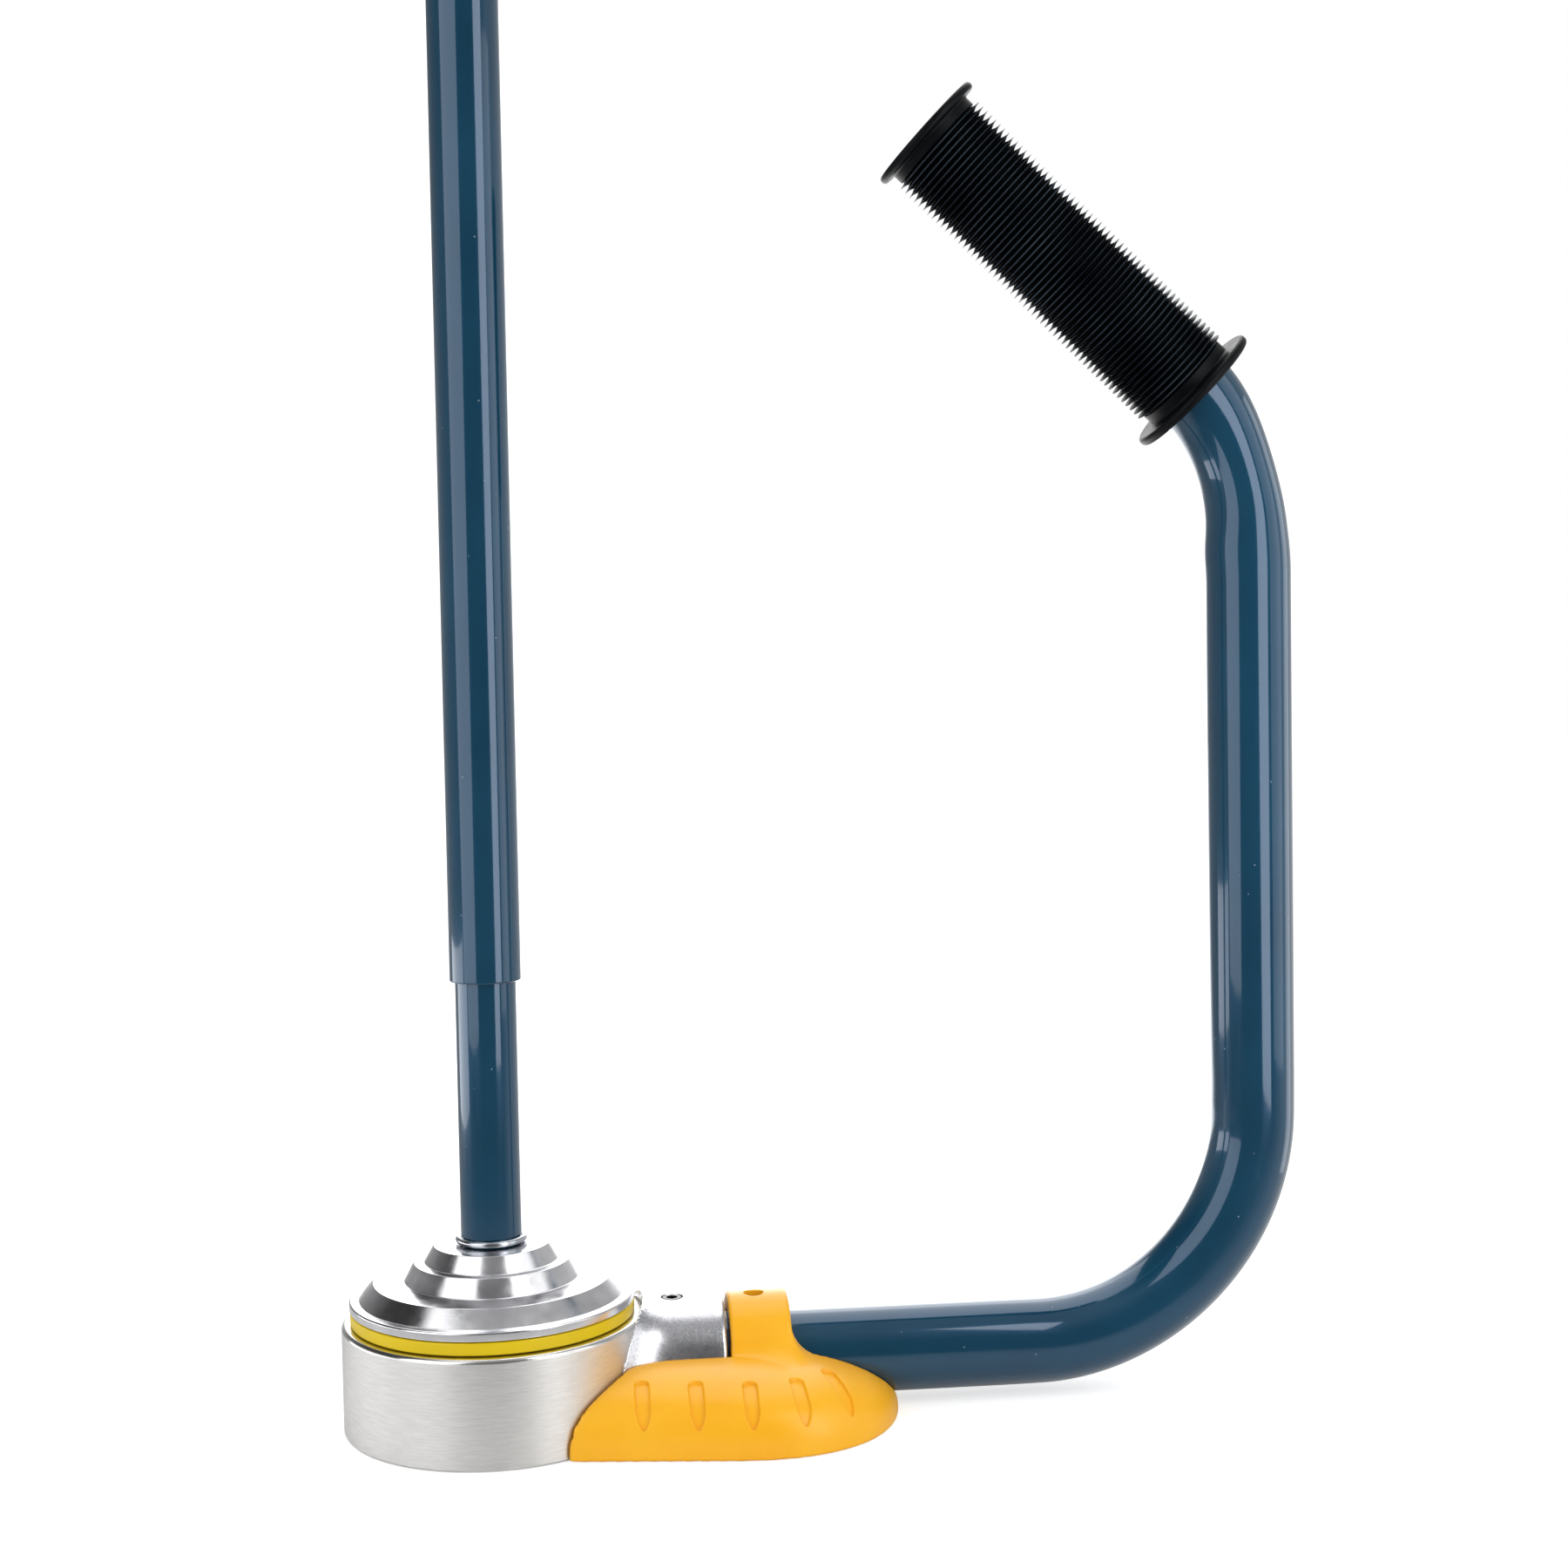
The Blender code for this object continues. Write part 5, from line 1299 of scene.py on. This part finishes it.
def floor():
    """A pale floor, white to the camera, that keeps the object's soft shadow.

    Away from the object, reflections see the surroundings go on in it, so that no horizon shows in them.
    """
    made, tree, shader = new_material("white_floor", Roughness=0.9)
    shader.inputs["Emission Color"].default_value = (1.0, 1.0, 1.0, 1.0)
    place = add(tree, "ShaderNodeTexCoord", out="Object")
    seen = surroundings(tree, add(tree, "ShaderNodeVectorMath", {0: place}, operation="NORMALIZE"))
    distance = add(tree, "ShaderNodeVectorMath", {0: place}, "Value", operation="LENGTH")
    far = add(tree, "ShaderNodeMapRange", {"Value": distance, "From Min": 0.2, "From Max": 0.5})
    clear = add(tree, "ShaderNodeMapRange", {"Value": distance, "From Min": 0.1, "From Max": 0.3})
    path = add(tree, "ShaderNodeLightPath").node.outputs
    mirrored = add(tree, "ShaderNodeMath", {0: clear, 1: path["Is Glossy Ray"]}, operation="MULTIPLY")
    colour = add(
        tree, "ShaderNodeMix", {0: mirrored, 6: linear("#E8E8E8"), 7: linear("#000000")}, 2, data_type="RGBA"
    )
    whiteness = add(tree, "ShaderNodeMapRange", {"Value": far, "To Min": 0.6, "To Max": 0.76})
    lift = add(tree, "ShaderNodeMath", {0: path["Is Camera Ray"], 1: whiteness}, operation="MULTIPLY")
    glow = add(tree, "ShaderNodeMath", {0: mirrored, 1: seen, 2: lift}, operation="MULTIPLY_ADD")
    feed(tree, shader, Base_Color=colour, Emission_Strength=glow)
    mesh = bpy.data.meshes.new("floor")
    signs = ((-1, -1), (1, -1), (1, 1), (-1, 1))
    mesh.from_pydata([(a * FLOOR_HALF, b * FLOOR_HALF, 0.0) for a, b in signs], [], [(0, 1, 2, 3)])
    mesh.materials.append(made)
    plane = in_scene("floor", mesh)
    plane.location.z = -FLOOR_DROP


bpy.context.scene.view_settings.view_transform = "Standard"
camera()
lamps()
world()
floor()
drum()
socket_arm()
hub()
friction_ring()
snap_ring()
inner_pole()
outer_pole()
pole_cap()
handle_tube()
grip_sleeve()
grip_ribs()
foot()
set_screw("arm_set_screw", "socket_grub_screw", BLACKENED, "black_steel")
set_screw("foot_set_screw", "foot_screw", ZINC, "zinc_steel")
cover_screws()
finish_frame_nodes()
